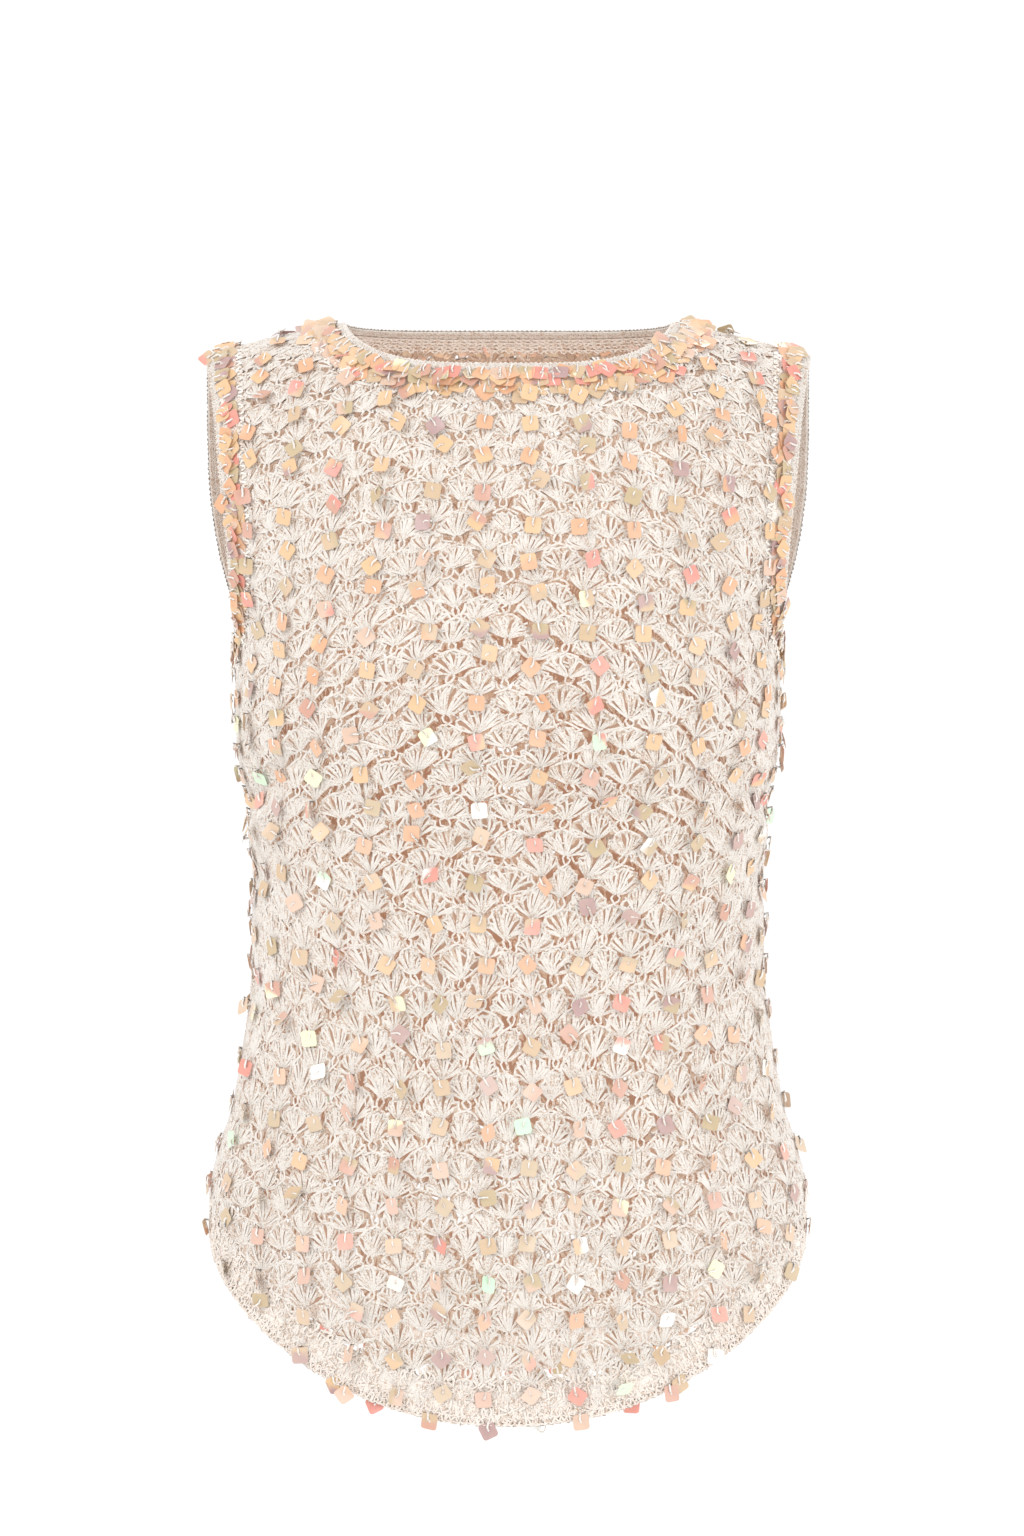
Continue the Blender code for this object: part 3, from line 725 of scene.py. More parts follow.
def by_apexes(across, down):
    """Net places at offsets from every apex, in columns and rows; the first axis is the fan."""
    across, down = np.broadcast_arrays(across, down)
    axes = (len(apex_k),) + (1,) * (across.ndim - 1)
    return wander(apex_k.reshape(axes) + across, apex_r.reshape(axes) + down)


# %% [markdown]
# ### The web between the stitches
#
# This is the sheet itself: a thin surface with the main creases, open where the net is open, in
# the gap under every apex and the slanted slits beside it.  Its tan colour is painted shade
# between the stitches.  The small gaps between tall stitches are too many to cut, so its colour
# turns to a painted deep shade there, on coordinates that count the stitches.

# %% The finish of the web
STITCH_WIDTH_MM = 4.5
SLIT_HALF_MM = 1.0
WAIST_HEIGHT = -0.36
SPREAD_HEIGHTS = (0.28, 0.14)  # distances from the waist where slits start to widen, and are wide
SPREAD_SIDES = (0.14, 0.06)    # and distances from the centre line
SHADE_LIGHTENED_SIDES = (0.09, 0.15)     # where the web's painted shade starts to turn lighter, and is lightest


def web_finish():
    """Yarn tinted tan as painted shade, with a slit of painted deep shade between each stitch and
    the next: u counts stitches and v is the share of the radius, so a point's distance from the
    nearest slit is (0.5 - |fraction(u) - 0.5|) v stitch widths.  The slits are widest in the middle
    of the waist, where the net is spread, and towards the sides, where it is drawn together, the
    painted shade turns lighter."""
    # The web's tan is painted shade between the stitches, and the slits' colour below is a painted
    # deep shade.
    finish = Yarn("web_yarn", rgb(0.68, 0.56, 0.46), rgb(0.56, 0.43, 0.33))
    across, height = finish.part(finish.place, 0).absolute(), finish.part(finish.place, 2)
    aside = (0.5 - (finish.u.fraction() - 0.5).absolute()) * finish.v * STITCH_WIDTH_MM
    ends = ((finish.v - 0.22) * 5.0).least((0.97 - finish.v) * 9.0).least(1.0)
    level = finish.ramp((height - WAIST_HEIGHT).absolute(), *SPREAD_HEIGHTS)
    spread = finish.ramp(across, *SPREAD_SIDES) * level
    half = ends * (finish.patches * 4.4 - 1.3) * (0.60 + 0.62 * spread) * SLIT_HALF_MM
    slit = (half - aside + finish.fibres * 0.5 - 0.25) > 0.0
    shade_lightened = finish.ramp(across, *SHADE_LIGHTENED_SIDES) * 0.7
    filled = finish.blend(shade_lightened, finish.colour, rgb(0.80, 0.75, 0.69))
    finish.feed("Base Color", finish.blend(slit, filled, rgb(0.42, 0.255, 0.175)))
    finish.bump(finish.fibres - slit * 0.8, 0.6, 0.0005)
    return finish.material


web_yarn = web_finish()
print("nodes in the web's finish:", len(web_yarn.node_tree.nodes))


# %% The web of one face
WEB_SHARES = np.array([0.05, 0.55, 1.03])
LINK_ACROSS = np.array([[[-0.05, 0.05], [-0.03, 0.03]]])
LINK_DOWN = np.array([[[-1.40], [-1.56]]])
WEB_MARGINS = (0.012, 0.010, 0.006)     # from the neck, the armholes and the hem


def fan_web(face):
    """Net places of the fans' surfaces, as strips that run out from the apex, and their UV."""
    gore = np.stack([np.arange(POSTS), np.arange(POSTS) + 1.0], axis=1)[None, :, None]
    gore, share = np.broadcast_arrays(gore, WEB_SHARES[:, None])
    column, row = in_fans(face, gore * POST_STEP - FAN_HALF_ANGLE, share)
    return column, row, np.broadcast_to(np.stack([gore, share], axis=-1), column.shape + (2,))


def link_web():
    """The short bridge from the middle of a fan's top towards the apex above it."""
    column, row = by_apexes(LINK_ACROSS, LINK_DOWN)
    return column[:, None], row[:, None], np.full(column[:, None].shape + (2,), 0.5)


def strips_to_skein(skein, face, column, row, uv):
    """Add strips (fan, gore, ring, side) of faces, each kept if all its corners lie inside."""
    kept = inside(face, column, row, *WEB_MARGINS) & (np.abs(column) <= SEAM_COLUMN + 0.001)
    kept &= row > 0.0
    points, _ = on_net(face, column, row)
    index = np.arange(column.size).reshape(column.shape)
    quads = [index[..., :-1, 0], index[..., :-1, 1], index[..., 1:, 1], index[..., 1:, 0]]
    whole = np.all([kept.ravel()[quad] for quad in quads], axis=0)
    faces = np.stack([quad[whole] for quad in quads], axis=1)
    used = np.unique(faces)
    renumber = np.zeros(column.size, dtype=int)
    renumber[used] = np.arange(len(used))
    tints = np.full(len(used), 0.5)
    skein.add(points.reshape(-1, 3)[used], renumber[faces], uv.reshape(-1, 2)[faces], tints)


def make_web(face):
    """The sheet of one face."""
    skein = Skein()
    strips_to_skein(skein, face, *fan_web(face))
    strips_to_skein(skein, face, *link_web())
    return skein.piece(face + "_lace_web", web_yarn, "cream_yarn")


webs = {face: make_web(face) for face in cloths}


# %% [markdown]
# ### The yarn of the stitches
#
# The tall stitches stand a little proud of the web, and a chain runs along their tops.  Loose
# strands slip across as rungs from stitch to stitch and as bridges from fan to fan, and two
# crossed ties run down from each apex to the fan below.  Each kind is one array of fans by strands
# by points.  The wrong side shows only through the neck and the armholes, so only tall stitches
# near them are laid there.

# %% Laying strands on the net
STRAND_MARGINS = (0.014, 0.012, 0.0015)         # from the neck, the armholes and the hem
RUNGS = 5                      # short strands across the tall stitches of a fan
BRIDGES = 4                    # short strands from its top to the fans above
BRIDGED = 0.24                 # share of them that are there where the net is open
INNER_LAST_ROW = 24.0          # the last row that is laid on the wrong side
WRONG_SIDE_SHADE = 1.1
PAIR = np.array([-1.0, 1.0])
SEAM_SHARE = {"front": 0.03, "back": -0.03}    # a strand right on a seam goes to the front


def lay_on_net(skein, face, column, row, lift, radius, widen=1.0, way=1.0):
    """Strands along net lines, lifted off the cloth, kept where the whole line lies inside.  On the
    wrong side, where the way is -1, their colour is darkened by a painted shade, and only those in
    reach of the neck and the armholes are kept, as no others show."""
    kept = inside(face, column, row, *STRAND_MARGINS).all(axis=1) & (row > -0.6).all(axis=1)
    kept &= np.abs(column.mean(axis=1)) < SEAM_COLUMN + SEAM_SHARE[face]
    if way < 0.0:
        kept &= (row < INNER_LAST_ROW).all(axis=1)
    points, normals = on_net(face, column[kept], row[kept])
    normals = normals * way
    lines = points + normals * lift[kept][:, :, None]
    shade = WRONG_SIDE_SHADE if way < 0.0 else 0.0
    skein.lay(lines, normals, radius[kept], widen, HALF_ROUND, shade)


def fan_posts(face, skein, way=1.0):
    """The tall stitches, each two flat plies from the apex out, which part and widen towards
    their neighbours at the top.  On the wrong side they are a single wide ply."""
    share = np.array([0.05, 0.42, 0.75, 1.00])
    plies, widen = (PAIR, 1.0) if way > 0.0 else (np.array([0.0]), 1.5)
    shape = (len(apex_k), POSTS, len(plies), len(share))
    centre = POST_ANGLES[:, None, None] + chance.normal(0.0, 0.05, shape[:2])[:, :, None, None]
    ply = plies[:, None] * np.array([0.22, 0.13, 0.15, 0.23]) * POST_STEP
    angle = centre + ply + chance.normal(0.0, 1.0, shape) * np.array([0.04, 0.05, 0.055, 0.06])
    reach = share * (1.0 + chance.normal(0.0, 0.065, shape[:3])[:, :, :, None])
    column, row = in_fans(face, angle, reach)
    lift = np.array([0.10, 0.25, 0.20, 0.0]) * MM + chance.normal(0.0, 0.22 * MM, shape)
    radius = np.array([0.60, 0.74, 0.78, 0.72]) * MM * chance.uniform(0.75, 1.25, shape)
    flat = (-1, len(share))
    lay_on_net(skein, face, column.reshape(flat), row.reshape(flat), lift.reshape(flat),
               radius.reshape(flat), widen * np.array([0.8, 0.9, 1.0, 1.0]), way)


def fan_rungs(face, skein):
    """Short strands that slip across from one tall stitch to the next, at random heights."""
    shape, flat, size = (len(apex_k), RUNGS, 1), (-1, 2), (len(apex_k) * RUNGS, 2)
    post = chance.integers(0, POSTS - 1, shape)
    angle = POST_ANGLES[post] + np.array([0.05, 0.95]) * POST_STEP
    share = chance.uniform(0.38, 0.97, shape) + chance.uniform(-0.07, 0.07, shape) * PAIR
    column, row = in_fans(face, angle, share)
    lift = chance.uniform(0.1, 0.5, size) * MM
    radius = chance.uniform(0.5, 0.8, size) * MM
    lay_on_net(skein, face, column.reshape(flat), row.reshape(flat), lift, radius, 0.8)


def fan_bridges(face, skein):
    """Short strands from the tops of some fans to those above, and of all where they are drawn
    together."""
    kept = chance.random(len(apex_k) * BRIDGES) < BRIDGED + 2.0 * np.repeat(fan_drawn, BRIDGES)
    shape, flat, size = (len(apex_k), BRIDGES, 1), (-1, 2), (len(apex_k) * BRIDGES, 2)
    angle = np.array([-0.98, -0.35, 0.35, 0.98])[:, None] + chance.normal(0.0, 0.13, shape)
    angle = angle + chance.normal(0.0, 0.10, shape) * PAIR
    share = np.array([0.95, 1.30]) + chance.normal(0.0, 0.05, shape)
    column, row = in_fans(face, angle, share)
    lift = chance.uniform(-0.1, 0.4, size) * MM
    radius = chance.uniform(0.45, 0.75, size) * MM
    lay_on_net(skein, face, column.reshape(flat)[kept], row.reshape(flat)[kept], lift[kept],
               radius[kept])


def fan_chains(face, skein):
    """The chain along a fan's top: a small arch from each tall stitch to the next."""
    steps = 2 * POSTS + 1
    shape = (len(apex_k), steps)
    angle = np.linspace(-1.0, 1.0, steps) * FAN_HALF_ANGLE + chance.normal(0.0, 0.03, shape)
    arch = np.where(np.arange(steps) % 2 == 0, 1.0, -1.0)
    share = 1.00 + 0.050 * arch + chance.normal(0.0, 0.032, shape)
    column, row = in_fans(face, angle, share)
    lift = (0.25 - 0.3 * arch) * MM + chance.normal(0.0, 0.18 * MM, shape)
    radius = 0.76 * MM * chance.uniform(0.7, 1.35, shape)
    lay_on_net(skein, face, column, row, lift, radius)


def fan_ties(face, skein):
    """Two strands that run down beside the hole under an apex, cross, and end on the top of the
    fan below."""
    down = np.array([-0.05, 0.10, 0.32, 0.48, 0.58, 0.80])
    for way in PAIR:
        across = np.array([0.030, 0.066, 0.055, -0.020, -0.12, -0.24]) * way
        shape = (len(apex_k), len(across))
        jitter = chance.normal(0.0, 0.010, shape)
        column, row = by_apexes(across + jitter, down + 2.0 * jitter[:, ::-1])
        lift = np.array([0.5, 0.5, 0.5, 0.8 + 0.3 * way, 0.5, 0.3]) * MM * np.ones(shape)
        radius = 0.66 * MM * chance.uniform(0.8, 1.25, shape)
        lay_on_net(skein, face, column, row, lift, radius)


# %% The stitches of both faces
stitch_pieces = {}
for face in cloths:
    posts, loops = Skein(), Skein()
    fan_posts(face, posts)
    fan_chains(face, loops)
    fan_rungs(face, loops)
    fan_bridges(face, loops)
    fan_ties(face, loops)
    fan_posts(face, loops, -1.0)
    stitch_pieces[face] = [
        posts.piece(face + "_fan_stitches", strand_yarn, "cream_yarn"),
        loops.piece(face + "_fan_chains", strand_yarn, "cream_yarn"),
    ]
    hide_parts(face + "_panel")


# %% [markdown]
# ## Bands along the edges
#
# The neck, the armholes and the hem each follow a line of their own, so their stitches need a
# second pair of coordinates: `s`, a share of the way along the edge, and `w`, the distance in
# from it.  Each edge could be solved anew for every stitch, but a table of points at several
# distances, made once, gives any place by lookup.

# %% Lines along the edges
LINE_STEPS = 360


def resample(line, count):
    """count points of a line, evenly spaced along it."""
    length = np.concatenate([[0.0], np.cumsum(np.linalg.norm(np.diff(line, axis=0), axis=1))])
    wanted = np.linspace(0.0, length[-1], count)
    return np.stack([np.interp(wanted, length, line[:, k]) for k in range(line.shape[1])], axis=1)


def moved_aside(line, inset, first_way, last_way):
    """A flat line moved at right angles to itself, and straight along a seam at its ends."""
    step = np.gradient(line, axis=0)
    way = unit(np.stack([-step[:, 1], step[:, 0]], axis=1))
    way[0], way[-1] = first_way, last_way
    return line + inset * way


def neck_quarter(face, inset):
    """Flat line from the centre to the shoulder: across = w sin(t)^(2/n), path = d cos(t)^(2/n)."""
    angle = np.linspace(0.0, math.pi / 2.0, 4 * LINE_STEPS)
    power = 2.0 / NECK_SQUARENESS[face]
    across = NECK_HALF_WIDTH * np.sin(angle) ** power
    path = NECK_DEPTH[face] * np.cos(angle).clip(0.0) ** power
    line = resample(np.stack([across, path], axis=1), LINE_STEPS)
    return moved_aside(line, inset, (0.0, 1.0), (1.0, 0.0))


def armhole_half(face, inset):
    """Flat line down the armhole's edge, from the shoulder to the underarm."""
    turn = np.linspace(0.0, math.pi / 2.0, LINE_STEPS)
    drops = ARMHOLE_ROUND_FROM + (ARMHOLE_DROP - ARMHOLE_ROUND_FROM) * np.sin(turn)
    straight = np.linspace(0.0, path_of(ARMHOLE_ROUND_FROM), LINE_STEPS, endpoint=False)
    paths = np.concatenate([straight, path_of(drops)])
    line = np.stack([cloths[face].edge_across(paths), paths], axis=1)
    moved = moved_aside(resample(line, LINE_STEPS), inset, (-1.0, 0.0), (0.0, 1.0))
    moved[-1, 0] = cloths[face].half_girth(moved[-1, 1])
    return moved


def hem_half(face, inset):
    """Flat line along the hem, from the centre to the side seam."""
    share = np.linspace(0.0, 1.0, LINE_STEPS)
    path = hem_path(face, share)
    line = resample(np.stack([share * cloths[face].half_girth(path), path], axis=1), LINE_STEPS)
    moved = moved_aside(line, -inset, (0.0, 1.0), (0.0, 1.0))
    moved[-1, 0] = cloths[face].half_girth(moved[-1, 1])
    return moved


def mirrored(half):
    """A line from the centre out, carried over both halves."""
    return np.concatenate([half[:0:-1] * np.array([-1.0, 1.0]), half])


# %% A band along an edge
class Band:
    """Points and normals at a share s along an edge and a distance w in from it."""

    def __init__(self, lines_at, insets, closed):
        self.insets, self.closed = np.array(insets), closed
        rows = [[cloths[face].at(*line.T) for face, line in lines_at(w)] for w in insets]
        self.points = np.array([np.concatenate([points for points, _ in row]) for row in rows])
        self.normals = np.array([np.concatenate([out for _, out in row]) for row in rows])
        if closed:
            self.points = np.concatenate([self.points, self.points[:, :1]], axis=1)
            self.normals = np.concatenate([self.normals, self.normals[:, :1]], axis=1)
        middle = self.points[len(insets) // 2]
        steps = np.linalg.norm(np.diff(middle, axis=0), axis=1)
        self.share = np.concatenate([[0.0], np.cumsum(steps)]) / steps.sum()
        self.length = float(steps.sum())

    def at(self, s, w):
        """Bilinear lookup, going round again past either end of a closed edge."""
        s = s % 1.0 if self.closed else np.clip(s, 0.0, 1.0)
        column = np.interp(s, self.share, np.arange(len(self.share)))
        row = np.interp(w, self.insets, np.arange(len(self.insets)))
        return between(self.points, row, column), unit(between(self.normals, row, column))


def neck_lines(inset):
    """Round the neck: the front from right to left, then the back the other way."""
    front, back = mirrored(neck_quarter("front", inset)), mirrored(neck_quarter("back", inset))
    return [("front", front[:-1]), ("back", back[::-1][:-1])]


def armhole_lines(side):
    """Round an armhole: down the front and up the back."""
    mirror = np.array([side, 1.0])
    return lambda inset: [("front", armhole_half("front", inset)[:-1] * mirror),
                          ("back", armhole_half("back", inset)[::-1][:-1] * mirror)]


def hem_lines(face):
    """Along one face's hem."""
    return lambda inset: [(face, mirrored(hem_half(face, inset)))]


# %% The bands of the garment
INSETS = np.linspace(-0.001, 0.030, 12)
SIDES = {"left": 1.0, "right": -1.0}
neck_band = Band(neck_lines, INSETS, True)
armhole_bands = {name: Band(armhole_lines(side), INSETS, True) for name, side in SIDES.items()}
hem_bands = {face: Band(hem_lines(face), INSETS, False) for face in cloths}
for name, band in (("neck", neck_band), *armhole_bands.items(), *hem_bands.items()):
    print("edge length of the", name, "band (m):", round(band.length, 3))

# %% [markdown]
# ### Rows of short stitches
#
# The edges are worked in single crochet: short stitches that look like a row of Vs, on a firm
# cord-like edge.  A bevelled curve would give the cord, but not stitches that follow it.  Here the
# cord is an oval profile carried along the edge, and the Vs are half tubes on it.

# %% Cord and short stitches
def edge_cord(skein, band, w0, w1, thickness, lift, steps):
    """An oval profile carried along a band: w goes round between w0 and w1, and the height is
    half the thickness times the sine of the same turn."""
    turn = np.linspace(0.0, 2.0 * math.pi, 11)
    s = np.linspace(0.0, 1.0, steps)[:, None]
    w = (w0 + w1) / 2.0 - (w1 - w0) / 2.0 * np.cos(turn)[None]
    points, normals = band.at(*np.broadcast_arrays(s, w))
    height = lift + thickness / 2.0 * np.sin(turn)[None, :, None]
    if not band.closed:
        ends = np.minimum(1.0, np.minimum(s, 1.0 - s) * steps)[:, :, None]
        height = lift + (height - lift) * ends
    uv = np.stack(np.broadcast_arrays(s * band.length / MM, np.full(w.shape, 0.25)), axis=2)
    skein.spread(points + normals * height, uv)


def short_stitches(skein, band, w0, w1, pitch, lift, radius, way=1.0):
    """A row of Vs between two distances from the edge, and the wavy strand along their tops."""
    count = int(band.length / pitch)
    start = (np.arange(count) + chance.normal(0.0, 0.10, count)) / count
    lean = np.array([0.04, 0.26, 0.44]) / count
    share = np.array([0.0, 0.5, 1.0])
    for side in (-1.0, 1.0):
        s = start[:, None] + side * lean + chance.normal(0.0, 0.06 / count, (count, 3))
        w = w0 + (w1 - w0) * share + chance.normal(0.0, 0.05 * abs(w1 - w0), (count, 3))
        points, normals = band.at(s, w)
        height = way * (lift + radius * np.array([-0.4, 0.5, 0.1])[:, None])
        radii = radius * chance.uniform(0.8, 1.2, s.shape)
        skein.lay(points + normals * height, normals * way, radii)
    knots = 2 * count + 1
    s = np.linspace(0.0, 1.0, knots)[None]
    wave = np.where(np.arange(knots) % 2 == 0, -1.0, 1.0)
    w = w1 + (w1 - w0) * (0.10 * wave + chance.normal(0.0, 0.05, (1, knots)))
    points, normals = band.at(s, w)
    height = way * (lift + radius * (0.4 + 0.5 * wave))[None, :, None]
    skein.lay(points + normals * height, normals * way, np.full(s.shape, 0.85 * radius))


# %% Edgings, and the ground of the sequin trims
TRIM_ROW = 4.2 * MM
TRIM_GAP = 0.6 * MM            # between one row of its stitches and the next
TRIM_STITCH = {"pitch": 4.8 * MM, "radius": 0.75 * MM}
EDGE_STITCH = {"pitch": 3.0 * MM, "lift": 0.85 * MM, "radius": 0.55 * MM}


def edging(name, band, node):
    """A firm edge of two rows of short stitches, outside and in."""
    skein = Skein()
    steps = int(band.length / (2.6 * MM))
    edge_cord(skein, band, 0.0, EDGING_WIDTH, 2.0 * MM, 0.0, steps)
    for way in (1.0, -1.0):
        short_stitches(skein, band, 3.2 * MM, 0.5 * MM, **EDGE_STITCH, way=way)
        short_stitches(skein, band, 6.0 * MM, 3.4 * MM, **EDGE_STITCH, way=way)
    made = skein.piece(name, strand_yarn, "cream_yarn")
    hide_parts(node)
    return made


def trim_ground(name, band, w1):
    """The firm strip that a band of sequins is worked into, with rows of stitches inside, and one
    outside where the sequins end."""
    skein = Skein()
    edge_cord(skein, band, 5.2 * MM, w1, 1.6 * MM, 0.35 * MM, int(band.length / (4.0 * MM)))
    rows = int((w1 - EDGING_WIDTH) / TRIM_ROW)
    for row in range(rows):
        w = w1 - (rows - row) * TRIM_ROW
        short_stitches(skein, band, w + TRIM_ROW, w + TRIM_GAP, lift=0.45 * MM, way=-1.0,
                       **TRIM_STITCH)
    short_stitches(skein, band, w1 + 0.8 * MM, w1 - 3.6 * MM, lift=1.1 * MM, **TRIM_STITCH)
    return skein.piece(name, ground_yarn, "cream_yarn")


edgings = [edging("neck_crochet_edge", neck_band, "neck_edging")]
trims = [trim_ground("neck_sequin_ground", neck_band, TRIM_START + NECK_TRIM_WIDTH)]
armhole_trim_end = TRIM_START + ARMHOLE_TRIM_WIDTH
for side, band in armhole_bands.items():
    edgings.append(edging(f"armhole_crochet_edge_{side}", band, f"armhole_edging_{side}"))
    trims.append(trim_ground(f"armhole_sequin_ground_{side}", band, armhole_trim_end))

# %% [markdown]
# ### The hem
#
# The last fans run into a dense, lumpy border.  Regular rows would look machine made, so a tangle
# of short bent strands covers a flat strip that closes the holes, and loops of uneven length
# along the edge make it bristle.

# %% Hem borders
HEM_TANGLE = 720               # bent strands on each side of a border
BEND = np.array([-1.6, 0.6, 0.8, -1.0])         # their points, sideways
BEND_OVER = np.array([-1.0, 1.0, 0.8, -0.6])    # and outwards
LOOP_PITCH = 2.4 * MM


def tangle(skein, band, count, w_first, w_last, way):
    """Short bent strands that point across a band, more or less, at random places on it."""
    s = chance.random((count, 1)) + chance.normal(0.0, 1.3 * MM, (count, 1)) * BEND / band.length
    w = chance.uniform(w_first, w_last, (count, 1)) + np.linspace(-2.8, 2.8, 4) * MM
    w = w + chance.normal(0.0, 0.3 * MM, w.shape)
    points, normals = band.at(*np.broadcast_arrays(s, np.maximum(w, 0.2 * MM)))
    height = (0.55 + 0.35 * BEND_OVER + chance.uniform(0.0, 0.7, (count, 1))) * MM
    radius = chance.uniform(0.55, 0.85, w.shape) * MM
    skein.lay(points + normals * height[:, :, None] * way, normals * way, radius)


def edge_loops(skein, band):
    """Loops of uneven width that go out over a band's edge and back."""
    count = int(band.length / LOOP_PITCH)
    start = (np.arange(count) + chance.uniform(0.0, 1.0, count)) / count
    spread = np.array([-0.6, -0.4, 0.4, 0.6]) / count
    s = start[:, None] + spread * chance.uniform(0.7, 1.6, (count, 1))
    w = np.array([2.6, 0.2, 0.0, 2.4]) * MM * np.ones((count, 1))
    w = w + chance.normal(0.0, 0.35 * MM, w.shape)
    points, normals = band.at(s, w)
    height = chance.normal(0.5 * MM, 0.5 * MM, s.shape)[:, :, None]
    radius = 0.55 * MM * chance.uniform(0.8, 1.3, s.shape)
    skein.lay(points + normals * height, normals, radius, 1.0, ROUND)


def hem_border(face):
    """A strip under the last fans, with rows of uneven stitches and loops along the edge."""
    skein, band = Skein(), hem_bands[face]
    edge_cord(skein, band, 0.6 * MM, HEM_BORDER_WIDTH - 2.0 * MM, 1.8 * MM, -0.3 * MM, 150)
    for way in (1.0, -1.0):
        short_stitches(skein, band, 4.2 * MM, 0.6 * MM, 3.6 * MM, 0.75 * MM, 0.62 * MM, way)
        short_stitches(skein, band, 8.6 * MM, 4.4 * MM, 4.2 * MM, 0.70 * MM, 0.58 * MM, way)
        tangle(skein, band, HEM_TANGLE, 2.0 * MM, HEM_BORDER_WIDTH - 1.0 * MM, way)
    edge_loops(skein, band)
    made = skein.piece(f"hem_crochet_border_{face}", hem_yarn, "cream_yarn")
    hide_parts(f"hem_border_{face}")
    return made


hems = {face: hem_border(face) for face in cloths}

# %% [markdown]
# ## Sequins
#
# Each sequin is a thin square plate with round corners, a small hole and a slight cup.  Its film
# looks peach, coral, sand or mauve by the way that the plate is turned.  A shader could work that
# out from the view, but then the colours would slide as one walks round, so each plate draws its
# own.  One mesh per group holds them all: the plate's corners are worked out once, and then moved,
# turned and tilted as arrays.

# %% The finish of the sequins
# The film glows a little in its own colour through Emission Strength: painted light, so that plates
# turned from the lamps don't go dark.
sequin = Finish("sequin_film", {"Roughness": 0.30, "Coat Weight": 0.22, "Coat Roughness": 0.10,
                                "Specular IOR Level": 0.3, "Thin Film Thickness": 360.0,
                                "Thin Film IOR": 1.33, "Emission Strength": 0.13})
film_colour = sequin.node("ShaderNodeAttribute", {"attribute_name": "tint"}, {}, output=0)
film_place = sequin.node("ShaderNodeTexCoord", {}, {}, output=3)
film_cloud = sequin.noise(film_place, 160.0, 1.0)
film_glow = sequin.blend(film_cloud * 0.2, film_colour, rgb(0.86, 0.60, 0.42))
sequin.feed("Base Color", film_glow)
sequin.feed("Emission Color", film_glow)
sequin.bump(film_cloud, 0.25, 0.0004)
print("nodes in the sequins' finish:", len(sequin.tree.nodes))


# %% Film colours, each with its share of the sequins at the shoulders and at the hem
def linear(red, green, blue):
    """Display colour to light: ((c + 0.055) / 1.055) ^ 2.4."""
    return ((np.array([red, green, blue]) + 0.055) / 1.055) ** 2.4


Film = namedtuple("Film", "name colour high low")
FILMS = (
    Film("peach", linear(0.87, 0.73, 0.56), 0.27, 0.08),
    Film("apricot", linear(0.87, 0.67, 0.52), 0.21, 0.09),
    Film("coral", linear(0.88, 0.57, 0.52), 0.10, 0.12),
    Film("salmon", linear(0.80, 0.61, 0.54), 0.07, 0.08),
    Film("sand", linear(0.80, 0.70, 0.57), 0.15, 0.16),
    Film("khaki", linear(0.75, 0.68, 0.54), 0.10, 0.22),
    Film("blush", linear(0.85, 0.73, 0.65), 0.04, 0.08),
    Film("mauve", linear(0.69, 0.57, 0.57), 0.06, 0.10),
    Film("frost", linear(0.96, 0.98, 0.97), 0.00, 0.05),
    Film("mint", linear(0.80, 0.96, 0.84), 0.00, 0.03),
    Film("lemon", linear(0.94, 0.96, 0.80), 0.01, 0.04),
)
FILM_COLOURS = np.array([film.colour for film in FILMS])
HIGH_SHARES = np.array([film.high for film in FILMS])
LOW_SHARES = np.array([film.low for film in FILMS])
PALE_FILM = linear(0.94, 0.86, 0.80)
FILM_DEPTH = 0.88              # share of a film's colour in its base and its glow, lowered to make up for the painted glow
TWO_FILMED = 0.35              # share of the plates that show two colours
HIGH, LOW = -0.20, -0.50       # heights between which the first mix of films turns to the second
print("films:", *(film.name for film in FILMS))


def lowness(height):
    """0 where the first mix of films hangs, 1 where the second does."""
    return np.clip((height - HIGH) / (LOW - HIGH), 0.0, 1.0)


def pick_films(height):
    """A film's colour for each height: the first film whose running sum of shares passes a draw."""
    low = lowness(height)[:, None]
    running = np.cumsum(HIGH_SHARES * (1.0 - low) + LOW_SHARES * low, axis=1)
    index = (running < chance.random((len(height), 1)) * running[:, -1:]).sum(axis=1)
    return FILM_COLOURS[index]


# %% The plate and its thread
SEQUIN_HALF = 4.7 * MM
LOOP = 4.4 * MM
THREAD_RADIUS = 0.80 * MM
HOLE_SHARE = 0.13
CORNER_POWER = 6.0
SEQUIN_CUP = 0.45 * MM


def sequin_plate():
    """Rings of a rounded square, |x|^6 + |y|^6 = 1, shrunk towards its hole, whose height rises
    with the square of the distance from the middle."""
    corner = np.radians([30.0, 40.0, 50.0, 60.0])
    angle = (corner + np.arange(4)[:, None] * math.pi / 2.0).ravel()
    square = np.abs(np.cos(angle)) ** CORNER_POWER + np.abs(np.sin(angle)) ** CORNER_POWER
    square = square ** (-1.0 / CORNER_POWER)
    reach = np.stack([np.full(len(angle), HOLE_SHARE), 0.25 + 0.40 * square, square])
    height = SEQUIN_CUP * (np.array([HOLE_SHARE, 0.62, 1.0]) ** 2)
    x, y = reach * np.cos(angle), reach * np.sin(angle)
    z = np.broadcast_to(height[:, None], x.shape)
    plate = np.stack([x * SEQUIN_HALF, y * SEQUIN_HALF, z], axis=2)
    return np.concatenate([plate, plate[:, :1]], axis=1)


PLATE = sequin_plate()
PLATE_POINTS = PLATE[:, :-1].reshape(-1, 3)


